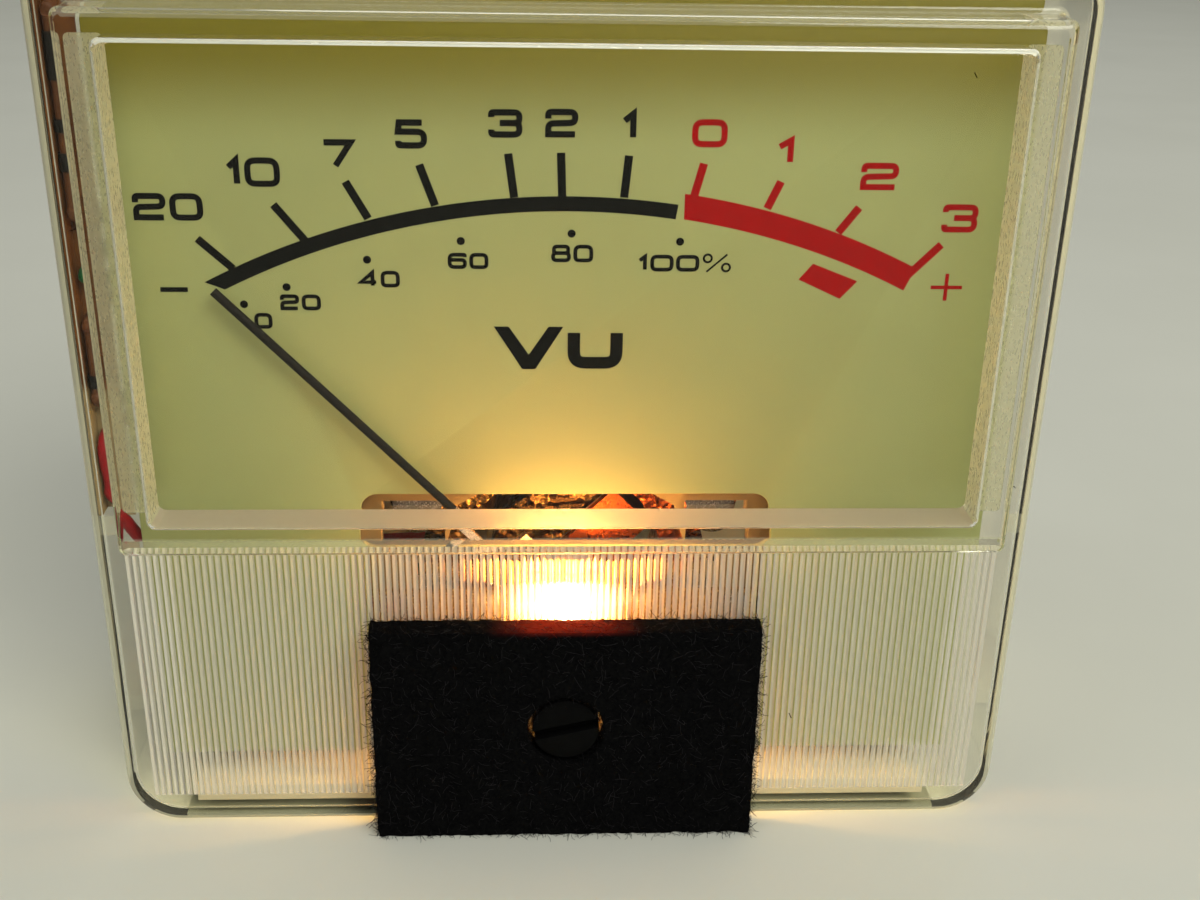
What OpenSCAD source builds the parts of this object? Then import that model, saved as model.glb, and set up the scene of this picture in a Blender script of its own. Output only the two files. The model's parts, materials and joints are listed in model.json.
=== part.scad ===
// Analog VU meter with a lit dial: clear box cover, cream case, moving-coil movement.
// Millimetres. +Z up, face towards -Y, origin under the middle of the object.
// Inside the modules y = 0 is the front plane of the flange and +y runs into the meter.

/* [Cover box] */
// Width of the flange and of the whole box
flange_w = 66; // [60:0.5:80]
// Height of the flange and of the whole box
flange_h = 64; // [62:0.5:76]
// Radius of the upright corners of the box
corner_r = 4; // [2:0.5:7]
// Thickness of the front plate of the cover
face_t = 1.6; // [1.2:0.1:1.7]
// Thickness of the side walls of the cover
wall_t = 1.2; // [0.8:0.1:1.6]
// Depth of the clear cover behind the flange plane
cover_depth = 17; // [12:0.5:20]

/* [Window block] */
// Width of the flange left free on each side of the raised window block
block_side = 2.8; // [2.6:0.1:6]
// Height of the flange left free above the block
block_top = 4; // [3:0.1:8]
// Height of the block's lower edge above the bottom of the box
block_z = 24.5; // [23:0.1:25]
// How far the block stands proud of the flange
block_proud = 3.6; // [2.4:0.1:4.5]
// Wall and glass thickness of the block
block_wall = 1.8; // [1:0.1:2.2]
// Thickness of the block's lower wall
block_floor = 1.5; // [1:0.1:2]

/* [Ribbed panel] */
// Spacing of the upright ribs
rib_pitch = 0.475; // [0.4:0.025:1.2]
// Depth of the grooves between the ribs
rib_depth = 0.2; // [0.1:0.05:0.4]
// Plain border beside the ribs
rib_side = 2.1; // [1.5:0.1:4]
// Plain border under the ribs
rib_base = 2.6; // [1.5:0.1:4]

/* [Felt pad] */
// Width of the felt pad
felt_w = 28.2; // [20:0.2:36]
// Height of the felt pad
felt_h = 17.7; // [15.5:0.1:19]
// Thickness of the felt pad
felt_t = 2; // [1:0.1:3]
// Air round the adjuster head in the pad
felt_gap = 0.35; // [0.3:0.05:0.6]

/* [Zero adjuster] */
// Height of the adjuster's axis above the bottom of the box
zero_z = 9.3; // [8.5:0.1:10]
// Radius of the slotted adjuster head
zero_head_r = 2.45; // [2:0.05:3]
// How far the head stands proud of the flange
zero_head_h = 1.7; // [1:0.1:2.5]
// Radius of the adjuster's shank
zero_shank_r = 1.6; // [1.2:0.1:1.9]
// Offset of the eccentric pin from the adjuster's axis
zero_offset = 0.9; // [0.6:0.05:1]
// Radius of the eccentric pin
zero_pin_r = 0.45; // [0.3:0.05:0.5]

/* [Dial] */
// Gap from the inside of the window to the dial
dial_gap = 4.8; // [4.2:0.1:6]
// Thickness of the dial sheet
dial_t = 0.5; // [0.3:0.1:0.8]
// Distance from the side of the box to the dial sheet
dial_side = 3.2; // [2.8:0.1:5]
// Height of the dial's lower edge above the bottom of the box
dial_low = 4.8; // [4.6:0.1:6]
// Distance from the top of the box down to the dial's upper edge
dial_top = 3.4; // [3:0.1:5]
// Width of the cut-out in the dial
cut_w = 29.2; // [27:0.2:32]
// Height of the cut-out's top edge above the bottom of the box
cut_top = 26.5; // [26.3:0.1:27.5]

/* [Movement frame] */
// Gap from the dial sheet to the frame plate
frame_gap = 2; // [1.7:0.1:2.4]
// Thickness of the frame plate
frame_t = 1.6; // [1.2:0.1:1.9]
// Half height of the many-sided hole in the frame plate
frame_hole_r = 9.3; // [9:0.1:9.6]
// Thickness of the case floor and walls
case_t = 1.8; // [1.2:0.1:2.4]
// Depth of the case behind the cover
case_depth = 12; // [11.5:0.5:20]

/* [Movement] */
// Height of the pointer's axis above the bottom of the box
pivot_z = 17.5; // [17:0.1:18]
// Gap from the frame plate's back to the magnet yoke
yoke_gap = 3.3; // [3.2:0.1:4.5]
// Length of the magnet yoke
yoke_len = 9.6; // [8:0.2:10]
// Outer radius of the magnet yoke
yoke_r = 9.5; // [9.2:0.1:9.7]
// Radius of the bore in the yoke
yoke_bore_r = 7.7; // [7.6:0.05:8]
// Radius of the core magnet
core_r = 5.7; // [5:0.1:5.8]
// Width of the moving coil
coil_w = 3.6; // [2.6:0.2:3.8]
// Thickness of the copper winding
winding_t = 0.7; // [0.4:0.05:0.85]
// Radius of the pivot staffs
staff_r = 0.4; // [0.3:0.05:0.5]

/* [Pointer] */
// Angle of the pointer from upright at rest, to the left
rest_deg = 44; // [40:1:46]
// Length of the pointer from its axis to its tip
pointer_len = 33.6; // [30:0.2:34]
// Radius of the black pointer tube
pointer_r = 0.3; // [0.2:0.05:0.4]
// Distance from the dial to the middle of the pointer
pointer_lift = 0.95; // [0.7:0.05:1]
// Distance from the axis at which the black tube starts
pointer_black = 11.5; // [10.5:0.5:13]

/* [Hairsprings] */
// Turns of each hairspring
spring_turns = 3.5; // [2.5:1:3.5]
// Outer radius of each hairspring
spring_r = 3.5; // [3.2:0.1:3.6]
// Width of the hairspring strip along the axis
spring_w = 0.3; // [0.2:0.05:0.4]
// Thickness of the hairspring strip
spring_t = 0.12; // [0.1:0.02:0.2]

/* [Lamp] */
// Radius of the lamp's glass tube
lamp_r = 1.5; // [1.2:0.1:1.6]
// Length of the lamp between its end caps
lamp_len = 8; // [7:0.5:9]
// Length of each end cap
lamp_cap_len = 2.2; // [1.8:0.1:3]
// Height of the lamp's axis above the bottom of the box
lamp_z = 17.3; // [16.8:0.1:17.5]

/* [Terminals] */
// Radius of the terminal studs' M3 thread; the free ends are 0.25 mm less
stud_r = 1.5; // [1.25:0.25:2]
// Distance between the two terminal studs
stud_pitch = 30; // [26:1:36]
// Height of the terminal studs above the bottom of the box
stud_z = 33; // [32:0.5:34]
// Length of the studs behind the case
stud_len = 10; // [8:0.5:14]
// Width of a terminal nut across its flats
nut_af = 5.5; // [4.5:0.5:7]

/* [Rectifier] */
// Width of the rectifier board
board_w = 40; // [34:1:44]
// Height of the rectifier board
board_h = 13; // [12:0.5:14]
// Thickness of the rectifier board
board_t = 1.2; // [0.8:0.1:1.6]
// Distance from the top of the box down to the board's middle
board_drop = 15; // [14:0.5:17]

/* [Leads] */
// Radius of an insulated lead
lead_r = 0.5; // [0.35:0.05:0.55]

/* [Hidden] */
$fn = 48;

fit = 0.05;         // radial running clearance
air = 0.1;          // gap between pieces that are assembled by hand
over = 1;           // how far a cutting tool runs past the face it cuts

// Sizes that follow the box
block_w = flange_w - 2 * block_side;
block_h = flange_h - block_z - block_top;
dial_w = flange_w - 2 * dial_side;
dial_high = flange_h - dial_top;

// Depths from front to back, all measured from the flange plane
window_back = block_wall - block_proud;
dial_y = window_back + dial_gap;
dial_back = dial_y + dial_t;
frame_y = dial_back + frame_gap;
frame_back = frame_y + frame_t;
yoke_y = frame_back + yoke_gap;
yoke_back = yoke_y + yoke_len;
case_back = cover_depth + case_depth;
floor_y = case_back - case_t;
stud_end = case_back + stud_len;

// The whole object runs from the window block to the ends of the studs
face_y = (block_proud - stud_end) / 2;

// Movement stack along the pointer's axis
core_inset = 0.8;
former_t = 0.25;
end_air = 0.4;
core_y0 = yoke_y + core_inset;
core_y1 = yoke_back - core_inset;
former_y0 = core_y0 - end_air;
former_y1 = core_y1 + end_air;
winding_y0 = former_y0 - former_t - winding_t;
winding_y1 = former_y1 + former_t + winding_t;
coil_half = core_r + 0.35;
hub_t = 0.5;
hub_r = 1.6;
arm_hub_r = 1.3;
arm_hub_y = winding_y0 - 2 * hub_t;
wire_r = 0.2;
arm_wire_y = arm_hub_y + hub_t / 2;
collet_r = 0.85;
collet_t = 0.4;
collet_gap = 0.25;
collet_y0 = arm_hub_y - collet_gap - collet_t;
collet_y1 = winding_y1 + hub_t + collet_gap;
jewel_r = 1;
jewel_gap = 0.2;
jewel_len = 2.3;
jewel_bore = 0.5;
jewel_y0 = collet_y0 - jewel_gap;
jewel_y1 = collet_y1 + collet_t + jewel_gap;
staff_tip = jewel_bore / 2;
bridge_t = 1;
bridge_step = 0.7;
bridge_y0 = jewel_y0 - bridge_step - bridge_t;
bridge_y1 = jewel_y1 + bridge_step;
bridge_h = 3.6;
bridge_leg = 2;
bridge_in = yoke_bore_r + 0.9;
bridge_out = bridge_in + bridge_leg;
bridge_slot_air = 0.8;
bridge_tap = 2;
spring_tab_w = 2;
yoke_block_h = bridge_h + 0.4;
yoke_block_x = bridge_out + 0.2;

// Screws: shank radius, head radius and head height
screw_s = [0.7, 1.3, 0.7];
screw_m = [1, 1.9, 1.2];
screw_slot = 0.4;
screw_grip = 3;

// Zero arm: a flat lever on the front jewel screw, forked round the eccentric pin
arm_t = 0.4;
arm_y = bridge_y0 - air - arm_t;
arm_ring_r = 2.2;
arm_w = 2.4;
arm_lip = 1.8;
spring_stud_r = 0.3;
zero_slot = 0.8;
zero_slot_turn = 13;
zero_clip_t = 0.4;
zero_clip_r = 2.6;
zero_shank_end = face_t + zero_clip_t + 0.2;
zero_pin_end = arm_y + arm_t + 0.4;
head_air = 0.05;

// Pointer route: out from the hub, forward through the frame and up over the dial
crank_r0 = spring_r + 1.1;
crank_r1 = crank_r0 + 2.6;
blade_y = dial_y - pointer_lift;
arm_strip_w = 0.6;
arm_strip_t = 0.3;
tail_len = yoke_bore_r + 0.9;
blade_tongue = 1;
weight_r = 0.8;
weight_len = 1.5;
stop_r = 0.5;
stop_orbit = yoke_bore_r + 0.8;
stop_swing = 49.5;
stop_margin = 6;
stop_sink = 1.5;

// Places of what is screwed or carried, as [x, z]
frame_margin = 4;
frame_half_w = flange_w / 2 - frame_margin;
frame_low = dial_low - 0.3;
frame_high = flange_h - frame_margin;
post_inset = 3.5;
post_low = frame_low + frame_margin;
post_high = frame_high - frame_margin - 0.5;
frame_posts = [for (side = [-1, 1], z = [post_low, post_high]) [side * (frame_half_w - post_inset), z]];
post_r = 2.8;
pad_size = 5;
pad_inset = 9.8;
pad_low = dial_low + 0.84 * pad_size;
pad_high = dial_high - 0.72 * pad_size;
pad_places = [for (side = [-1, 1], z = [pad_low, (pad_low + pad_high) / 2, pad_high])
    [side * (dial_w / 2 - pad_inset), z]];
ear_x = 11.2;
ear_rise = 5.4;
ear_r = 2.2;
ear_t = 3;
ear_web = 3.4;
side_window = [8.8, 13.4];
side_window_z = [21, 24.8];
arm_notch_w = 5.2;
arm_notch_low = 6;
lead_hole_r = 1.2;
board_post_r = 2;
board_post_x = board_w / 2 - 3;
board_z = flange_h - board_drop;
stud_x = stud_pitch / 2;
lamp_pin_x = 8;
lamp_pin_z = 12;
lamp_pin = [2.8, 0.5];
lamp_pin_in = 2;
lamp_pin_out = 5;

// Case lip inside the cover, with snap ridges, and the shelf that runs forward on the cover's floor
lip_t = 1.4;
lip_len = 3;
shelf_side = 5;
shelf_w = flange_w - 2 * shelf_side;
snap_w = 14;
snap_d = 0.35;
snap_h = 0.8;

// Lamp and its clips on the frame plate
lamp_cap_r = lamp_r - 0.1;
lamp_y = face_t + 0.2 + lamp_r;
clip_t = 0.3;
clip_w = 1.6;
clip_x = lamp_len / 2 + lamp_cap_len / 2;
clip_rivet_x = bridge_out + bridge_slot_air + 1.3;
clip_foot_end = clip_rivet_x + 2.6;
clip_foot_h = 2.4;
clip_z = lamp_z - 1;
lead_hole = [clip_foot_end + 3.7, clip_z - 2.6];
clip_open = 1.9;
rivet_r = 0.6;
rivet_head_t = 0.4;

// Nuts, washers and lugs behind the case
washer_t = 0.5;
washer_r = 3.2;
lug_t = 0.4;
lug_len = 9;
lug_w = 2.8;
lug_rim = 1.3;
lug_hole_r = 0.7;
nut_t = 2.4;
nut_back = case_back + washer_t + lug_t + nut_t;
stud_collar = 0.5;
stud_step = 0.25;
stud_head_r = 3;
stud_head_t = 1.5;

module at_face() translate([0, face_y, 0]) children();

// A round bar along y
module rod_y(r, y0, y1) translate([0, y0, 0]) rotate([-90, 0, 0]) cylinder(r = r, h = y1 - y0);

// A flat shape drawn in x and z, from depth y0 to y1
module slab(y0, y1) translate([0, y1, 0]) rotate([90, 0, 0]) linear_extrude(y1 - y0) children();

// A rectangle with round corners, centred in x, with its lower edge at z0
module rounded(w, h, r, z0) translate([0, z0 + h / 2]) {
    square([w - 2 * r, h], center = true);
    square([w, h - 2 * r], center = true);
    for (x = [-1, 1], z = [-1, 1]) translate([x * (w / 2 - r), z * (h / 2 - r)]) circle(r = r);
}

// The box outline, drawn in by a margin on every side
module outline(margin) rounded(flange_w - 2 * margin, flange_h - 2 * margin, corner_r - margin, margin);

// A slotted cheese-head screw whose head sits in front of y = 0
module screw(size, length) difference() {
    union() {
        rod_y(size[1], -size[2], 0);
        rod_y(size[0], 0, length);
    }
    translate([0, -size[2], 0]) cube([2 * size[1] + over, size[2], screw_slot], center = true);
}

// A round bar between two points, with round ends
module wire(a, b, r) {
    d = b - a;
    translate(a) rotate([0, acos(d[2] / norm(d)), atan2(d[1], d[0])]) cylinder(r = r, h = norm(d));
    translate(a) sphere(r = r);
    translate(b) sphere(r = r);
}

// The same thing on the left and on the right
module pair(x, z) for (side = [-1, 1]) translate([side * x, 0, z]) children();

// The same thing at each of a list of places
module at_each(places) for (p = places) translate([p[0], 0, p[1]]) children();

// The pointer's own frame: z' runs along the pointer, the hub is at the origin
module on_pointer() at_face() translate([0, 0, pivot_z]) rotate([0, -rest_deg, 0]) children();

// ---- Cover, pad and adjuster ----

// Teeth that cut the grooves, drawn in x and y, with a narrow land left between them
rib_span = flange_w - 2 * rib_side;
rib_count = floor(rib_span / rib_pitch);
rib_land = 0.15;
function tooth(i) = let (x = (i - rib_count / 2) * rib_pitch)
    [[x, -rib_land * rib_depth], [x + rib_pitch / 2, rib_depth]];
comb = concat([for (i = [0 : rib_count - 1]) each tooth(i)],
    [[rib_count / 2 * rib_pitch, -rib_land * rib_depth],
     [rib_count / 2 * rib_pitch, -over], [-rib_count / 2 * rib_pitch, -over]]);

module front_cover() color([0.93, 0.9, 0.76, 0.35]) at_face() difference() {
    union() {
        slab(0, cover_depth) outline(0);
        slab(-block_proud, 0.1) translate([-block_w / 2, block_z]) square([block_w, block_h]);
    }
    slab(face_t, cover_depth + over) outline(wall_t);
    slab(window_back, face_t + 0.1) translate([-block_w / 2 + block_wall, block_z + block_floor])
        square([block_w - 2 * block_wall, block_h - block_floor - block_wall]);
    translate([0, 0, rib_base]) linear_extrude(block_z - rib_base) polygon(comb);
    translate([0, 0, zero_z]) rod_y(zero_shank_r + fit, -over, face_t + over);
    snap_bars(fit);
}

module felt_pad() color([0.03, 0.03, 0.035]) at_face() difference() {
    translate([-felt_w / 2, -felt_t, 0]) cube([felt_w, felt_t, felt_h]);
    translate([0, 0, zero_z]) rod_y(zero_head_r + felt_gap, -felt_t - over, over);
}

module zero_screw() color([0.05, 0.05, 0.05]) at_face() translate([0, 0, zero_z]) {
    difference() {
        rod_y(zero_head_r, -zero_head_h, -head_air);
        rotate([0, -zero_slot_turn, 0]) translate([0, -zero_head_h, 0])
            cube([2 * zero_head_r + over, zero_head_h, zero_slot], center = true);
    }
    rod_y(zero_shank_r, -head_air - 0.1, zero_shank_end);
    translate([0, 0, -zero_offset]) rod_y(zero_pin_r, zero_shank_end - 0.1, zero_pin_end);
}

module zero_screw_clip() color([0.75, 0.75, 0.77]) at_face() translate([0, 0, zero_z]) difference() {
    rod_y(zero_clip_r, face_t + fit, face_t + fit + zero_clip_t);
    rod_y(zero_shank_r, 0, face_t + over);
    translate([-zero_clip_r / 4, 0, 0]) cube([zero_clip_r / 2, face_t + over, zero_clip_r + over]);
}

// Lever that shifts the pointer's rest position
module zero_arm() color([0.8, 0.62, 0.3]) at_face() {
    difference() {
        slab(arm_y, arm_y + arm_t) union() {
            translate([0, pivot_z]) circle(r = arm_ring_r);
            translate([-arm_w / 2, zero_z - zero_offset - arm_lip])
                square([arm_w, pivot_z - zero_z + zero_offset + arm_lip]);
        }
        translate([0, 0, pivot_z]) rod_y(jewel_r + fit, 0, arm_y + over);
        translate([-zero_pin_r - fit, 0, zero_z - zero_offset - arm_lip - over])
            cube([2 * (zero_pin_r + fit), arm_y + over, arm_lip + over + zero_offset]);
    }
    translate([0, 0, pivot_z - spring_r - spring_stud_r]) rod_y(spring_stud_r, arm_y, collet_y0 + collet_t);
}

// ---- Dial ----

cut_corner_r = 1.2;
module dial_outline() difference() {
    translate([-dial_w / 2, dial_low]) square([dial_w, dial_high - dial_low]);
    rounded(cut_w, 2 * (cut_top - dial_low), cut_corner_r, dial_low - (cut_top - dial_low));
}

module dial_plate() color([0.93, 0.89, 0.68]) at_face() slab(dial_y, dial_back) dial_outline();

// Adhesive foam pads that carry the dial on the frame plate
module dial_pads() color([0.85, 0.85, 0.82]) at_face() at_each(pad_places)
    translate([-pad_size / 2, dial_back, -pad_size / 2]) cube([pad_size, frame_gap, pad_size]);

// ---- Frame plate and case ----

// Corners of the many-sided hole in shares of its half height, down its right side and back up its left
hole_corners = [[0.415, 1], [0.86, 0.74], [1, 0.25]];
hole_right = concat(hole_corners, [for (i = [2 : -1 : 0]) [hole_corners[i][0], -hole_corners[i][1]]]);
hole_outline = concat(hole_right, [for (i = [5 : -1 : 0]) [-hole_right[i][0], hole_right[i][1]]]);

module frame_plate() color([0.9, 0.84, 0.66]) at_face() difference() {
    slab(frame_y, frame_back) difference() {
        translate([-frame_half_w, frame_low]) square([2 * frame_half_w, frame_high - frame_low]);
        translate([0, pivot_z]) polygon(frame_hole_r * hole_outline);
        translate([0, pivot_z])
            square([2 * (bridge_out + bridge_slot_air), bridge_h + 2 * bridge_slot_air], center = true);
        translate([-arm_notch_w / 2, arm_notch_low]) square([arm_notch_w, pivot_z - arm_notch_low]);
        for (x = [-side_window[1], side_window[0]]) translate([x, side_window_z[0]])
            square([side_window[1] - side_window[0], side_window_z[1] - side_window_z[0]]);
    }
    translate([lead_hole[0], 0, lead_hole[1]]) rod_y(lead_hole_r, frame_y - over, frame_back + over);
    at_each(frame_posts) rod_y(screw_m[0] + fit, frame_y - over, frame_back + over);
    pair(clip_rivet_x, clip_z)
        rod_y(rivet_r + fit, frame_y - over, frame_back + over);
}

module frame_screws() color([0.78, 0.78, 0.8]) at_face() at_each(frame_posts)
    translate([0, frame_y, 0]) screw(screw_m, frame_t + screw_grip);

// Ridges on the case's lip that snap into the cover
module snap_bars(extra) for (z = [wall_t, flange_h - wall_t])
    translate([-snap_w / 2 - extra, cover_depth - lip_len + 0.8 - extra, z - snap_d - extra])
        cube([snap_w + 2 * extra, snap_h + 2 * extra, 2 * (snap_d + extra)]);

module rear_case() color([0.9, 0.85, 0.7]) at_face() difference() {
    union() {
        difference() {
            union() {
                slab(cover_depth + fit, case_back) outline(0);
                slab(cover_depth - lip_len, cover_depth + over) outline(wall_t + air);
                intersection() {
                    snap_bars(-fit);
                    slab(0, cover_depth) outline(wall_t / 2);
                }
            }
            slab(cover_depth - lip_len - over, floor_y) outline(wall_t + air + lip_t);
        }
        translate([-shelf_w / 2, face_t + air, wall_t + air]) cube([shelf_w, cover_depth - face_t, lip_t]);
        at_each(frame_posts) rod_y(post_r, frame_back, floor_y + 0.1);
        pair(ear_x, pivot_z + ear_rise) rod_y(post_r, yoke_y + ear_t, floor_y + 0.1);
        pair(board_post_x, board_z)
            rod_y(board_post_r, board_y + board_t, floor_y + 0.1);
        plus_mark();
    }
    at_each(frame_posts)
        rod_y(screw_m[0] + fit, frame_back - over, frame_back + screw_grip + fit);
    pair(ear_x, pivot_z + ear_rise)
        rod_y(screw_m[0] + fit, yoke_y, yoke_y + ear_t + screw_grip + fit);
    pair(board_post_x, board_z)
        rod_y(screw_s[0] + fit, board_y, board_y + screw_grip + fit);
    pair(stud_x, stud_z) rod_y(stud_r + fit, floor_y - over, case_back + over);
    pair(lamp_pin_x, lamp_pin_z) translate([0, (floor_y + case_back) / 2, 0])
        cube([lamp_pin[0] + 2 * fit, case_t + 2 * over, lamp_pin[1] + 2 * fit], center = true);
}

// Raised plus sign beside the positive stud
plus_size = 4;
plus_line = 1;
plus_h = 0.4;
module plus_mark() translate([-stud_x, case_back + plus_h / 2 - 0.05, stud_z + washer_r + plus_size]) {
    cube([plus_size, plus_h + 0.1, plus_line], center = true);
    cube([plus_line, plus_h + 0.1, plus_size], center = true);
}

// ---- Magnet system ----

// An ear for a mounting screw, drawn flat with the web that joins it to the yoke
module yoke_ear() {
    translate([ear_x, ear_rise]) circle(r = ear_r);
    rotate(atan(ear_rise / ear_x)) translate([0, -ear_web / 2]) square([norm([ear_x, ear_rise]), ear_web]);
}

module magnet_yoke() color([0.62, 0.6, 0.56]) at_face() difference() {
    union() {
        translate([0, 0, pivot_z]) rod_y(yoke_r, yoke_y, yoke_back);
        translate([-yoke_block_x, yoke_y, pivot_z - yoke_block_h / 2])
            cube([2 * yoke_block_x, yoke_len, yoke_block_h]);
        translate([0, 0, pivot_z]) slab(yoke_y, yoke_y + ear_t) {
            yoke_ear();
            mirror([1, 0]) yoke_ear();
        }
    }
    translate([0, 0, pivot_z]) rod_y(yoke_bore_r, yoke_y - over, yoke_back + over);
    pair(ear_x, pivot_z + ear_rise)
        rod_y(screw_m[0] + fit, yoke_y - over, yoke_y + ear_t + over);
    translate([0, (yoke_y + yoke_back) / 2, pivot_z - yoke_r - over])
        cylinder(r = screw_m[0] + fit, h = 2 * (yoke_r + over));
    pair(bridge_in + bridge_leg / 2, pivot_z) {
        rod_y(screw_s[0] + fit, yoke_y - over, yoke_y + bridge_tap);
        rod_y(screw_s[0] + fit, yoke_back - bridge_tap, yoke_back + over);
    }
    for (x = [-1, 1]) stop_place(x) rod_y(stop_r, yoke_y - over, yoke_y + stop_sink);
}

module core_magnet() color([0.66, 0.55, 0.36]) at_face() difference() {
    translate([0, 0, pivot_z]) rod_y(core_r, core_y0, core_y1);
    for (z = [-1, 1]) translate([0, (yoke_y + yoke_back) / 2, pivot_z + z * (core_r - core_grip / 2)])
        cylinder(r = screw_m[0] + fit, h = core_grip + fit, center = true);
}

// Brass screws that hold the core in the middle of the yoke, from above and below
core_grip = 2.4;
core_screw_out = 0.6;
module core_screws() color([0.8, 0.65, 0.35]) at_face() for (z = [-1, 1])
    translate([0, (yoke_y + yoke_back) / 2, pivot_z]) rotate([0, z > 0 ? 0 : 180, 0]) difference() {
        translate([0, 0, core_r - core_grip + fit])
            cylinder(r = screw_m[0], h = yoke_r - core_r + core_grip + core_screw_out);
        translate([0, 0, yoke_r + core_screw_out])
            cube([2 * screw_m[0] + over, screw_slot, 2 * screw_slot], center = true);
    }

// A strip across the yoke with a leg at each end; dir is -1 at the front and 1 at the back
module bridge(y0, dir) difference() {
    union() {
        slab(y0, y0 + bridge_t) translate([-bridge_out, pivot_z - bridge_h / 2])
            square([2 * bridge_out, bridge_h]);
        for (x = [-bridge_out, bridge_in])
            translate([x, dir < 0 ? y0 : yoke_back, pivot_z - bridge_h / 2])
                cube([bridge_leg, dir < 0 ? yoke_y - y0 : y0 + bridge_t - yoke_back, bridge_h]);
    }
    translate([0, 0, pivot_z]) rod_y(jewel_r + fit / 2, y0 - over, y0 + bridge_t + over);
    pair(bridge_in + bridge_leg / 2, pivot_z)
        rod_y(screw_s[0] + fit, min(y0, yoke_back) - over, max(yoke_y, y0 + bridge_t) + over);
}

module front_bridge() color([0.8, 0.63, 0.32]) at_face() bridge(bridge_y0, -1);

// The rear bridge also carries the fixed end of the rear hairspring
module rear_bridge() color([0.8, 0.63, 0.32]) at_face() {
    bridge(bridge_y1, 1);
    slab(bridge_y1, bridge_y1 + bridge_t)
        translate([-spring_tab_w / 2, pivot_z - spring_r - 2 * spring_stud_r - collet_t])
            square([spring_tab_w, spring_r]);
    translate([0, 0, pivot_z - spring_r - spring_stud_r]) rod_y(spring_stud_r, collet_y1, bridge_y1 + 0.1);
}

module bridge_screws() color([0.82, 0.82, 0.84]) at_face() pair(bridge_in + bridge_leg / 2, pivot_z) {
    translate([0, bridge_y0, 0]) screw(screw_s, yoke_y - bridge_y0 + bridge_tap - 2 * air);
    translate([0, bridge_y1 + bridge_t, 0]) rotate([0, 0, 180])
        screw(screw_s, bridge_y1 + bridge_t - yoke_back + bridge_tap - 2 * air);
}

// A slotted jewel screw from y = 0, with its bearing hole at its inner end
module jewel_screw() difference() {
    rod_y(jewel_r, 0, jewel_len);
    rod_y(staff_r + fit, jewel_len - jewel_bore, jewel_len + over);
    cube([2 * jewel_r + over, 2 * screw_slot, screw_slot], center = true);
}

module front_jewel_screw() color([0.84, 0.7, 0.4]) at_face() translate([0, jewel_y0 - jewel_len, pivot_z])
    jewel_screw();

module rear_jewel_screw() color([0.84, 0.7, 0.4]) at_face() translate([0, jewel_y1 + jewel_len, pivot_z])
    rotate([0, 0, 180]) jewel_screw();

// Place of a stop pin beside the counterweight's tail
module stop_place(side) translate([0, 0, pivot_z]) rotate([0, 180 + side * (stop_swing + stop_margin), 0])
    translate([0, 0, stop_orbit]) children();

module stop_pins() color([0.75, 0.75, 0.78]) at_face() for (x = [-1, 1])
    stop_place(x) rod_y(stop_r, arm_wire_y - 0.6, yoke_y + stop_sink);

module movement_screws() color([0.85, 0.85, 0.87]) at_face() pair(ear_x, pivot_z + ear_rise)
    translate([0, yoke_y, 0]) screw(screw_m, ear_t + screw_grip);

// ---- Moving coil ----

// A rectangular ring round the core, square to the pointer
module coil_ring(inner_half, y0, y1, t) difference() {
    translate([-inner_half - t, y0 - t, -coil_w / 2]) cube([2 * (inner_half + t), y1 - y0 + 2 * t, coil_w]);
    translate([-inner_half, y0, -coil_w / 2 - over]) cube([2 * inner_half, y1 - y0, coil_w + 2 * over]);
}

module coil_former() color([0.8, 0.8, 0.82]) on_pointer()
    coil_ring(coil_half, former_y0, former_y1, former_t);

module coil_winding() color([0.78, 0.36, 0.16]) on_pointer()
    coil_ring(coil_half + former_t, former_y0 - former_t, former_y1 + former_t, winding_t);

// Each staff has a foot on the coil, a collet for the hairspring and a tip in its jewel
module pivot_staffs() color([0.75, 0.76, 0.8]) on_pointer() {
    rod_y(hub_r, winding_y0 - hub_t, winding_y0);
    rod_y(collet_r, collet_y0, collet_y0 + collet_t);
    rod_y(staff_r, jewel_y0 - staff_tip, winding_y0);
    rod_y(hub_r, winding_y1, winding_y1 + hub_t);
    rod_y(collet_r, collet_y1, collet_y1 + collet_t);
    rod_y(staff_r, winding_y1, jewel_y1 + staff_tip);
}

// ---- Hairsprings ----

spring_steps = 24;
spring_rings = round(spring_turns * spring_steps);
spring_r0 = collet_r + spring_t;
spring_pitch = (spring_r - spring_t / 2 - spring_r0) / spring_turns;

// Middle of the strip at ring i; it ends straight below the axis, on its stud
function spring_at(i) = let (r = spring_r0 + spring_pitch * i / spring_steps,
    a = 270 - 360 * (spring_rings - i) / spring_steps) [r * cos(a), r * sin(a), a];
function spring_ring(i) = let (p = spring_at(i), u = [cos(p[2]), sin(p[2])] * spring_t / 2)
    [[p[0] - u[0], -spring_w / 2, p[1] - u[1]], [p[0] + u[0], -spring_w / 2, p[1] + u[1]],
     [p[0] + u[0], spring_w / 2, p[1] + u[1]], [p[0] - u[0], spring_w / 2, p[1] - u[1]]];

// Faces of a tube of n-sided rings, in triangles, with flat ends
function tube_faces(rings, n) = concat(
    [for (i = [0 : rings - 2], k = [0 : n - 1]) each let (a = i * n + k, b = i * n + (k + 1) % n)
        [[a, b + n, b], [a, a + n, b + n]]],
    [for (k = [1 : n - 2]) [0, k, k + 1]],
    [for (k = [1 : n - 2]) let (e = (rings - 1) * n) [e, e + k + 1, e + k]]);

module hairspring() polyhedron(points = [for (i = [0 : spring_rings]) each spring_ring(i)],
    faces = tube_faces(spring_rings + 1, 4));

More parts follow.
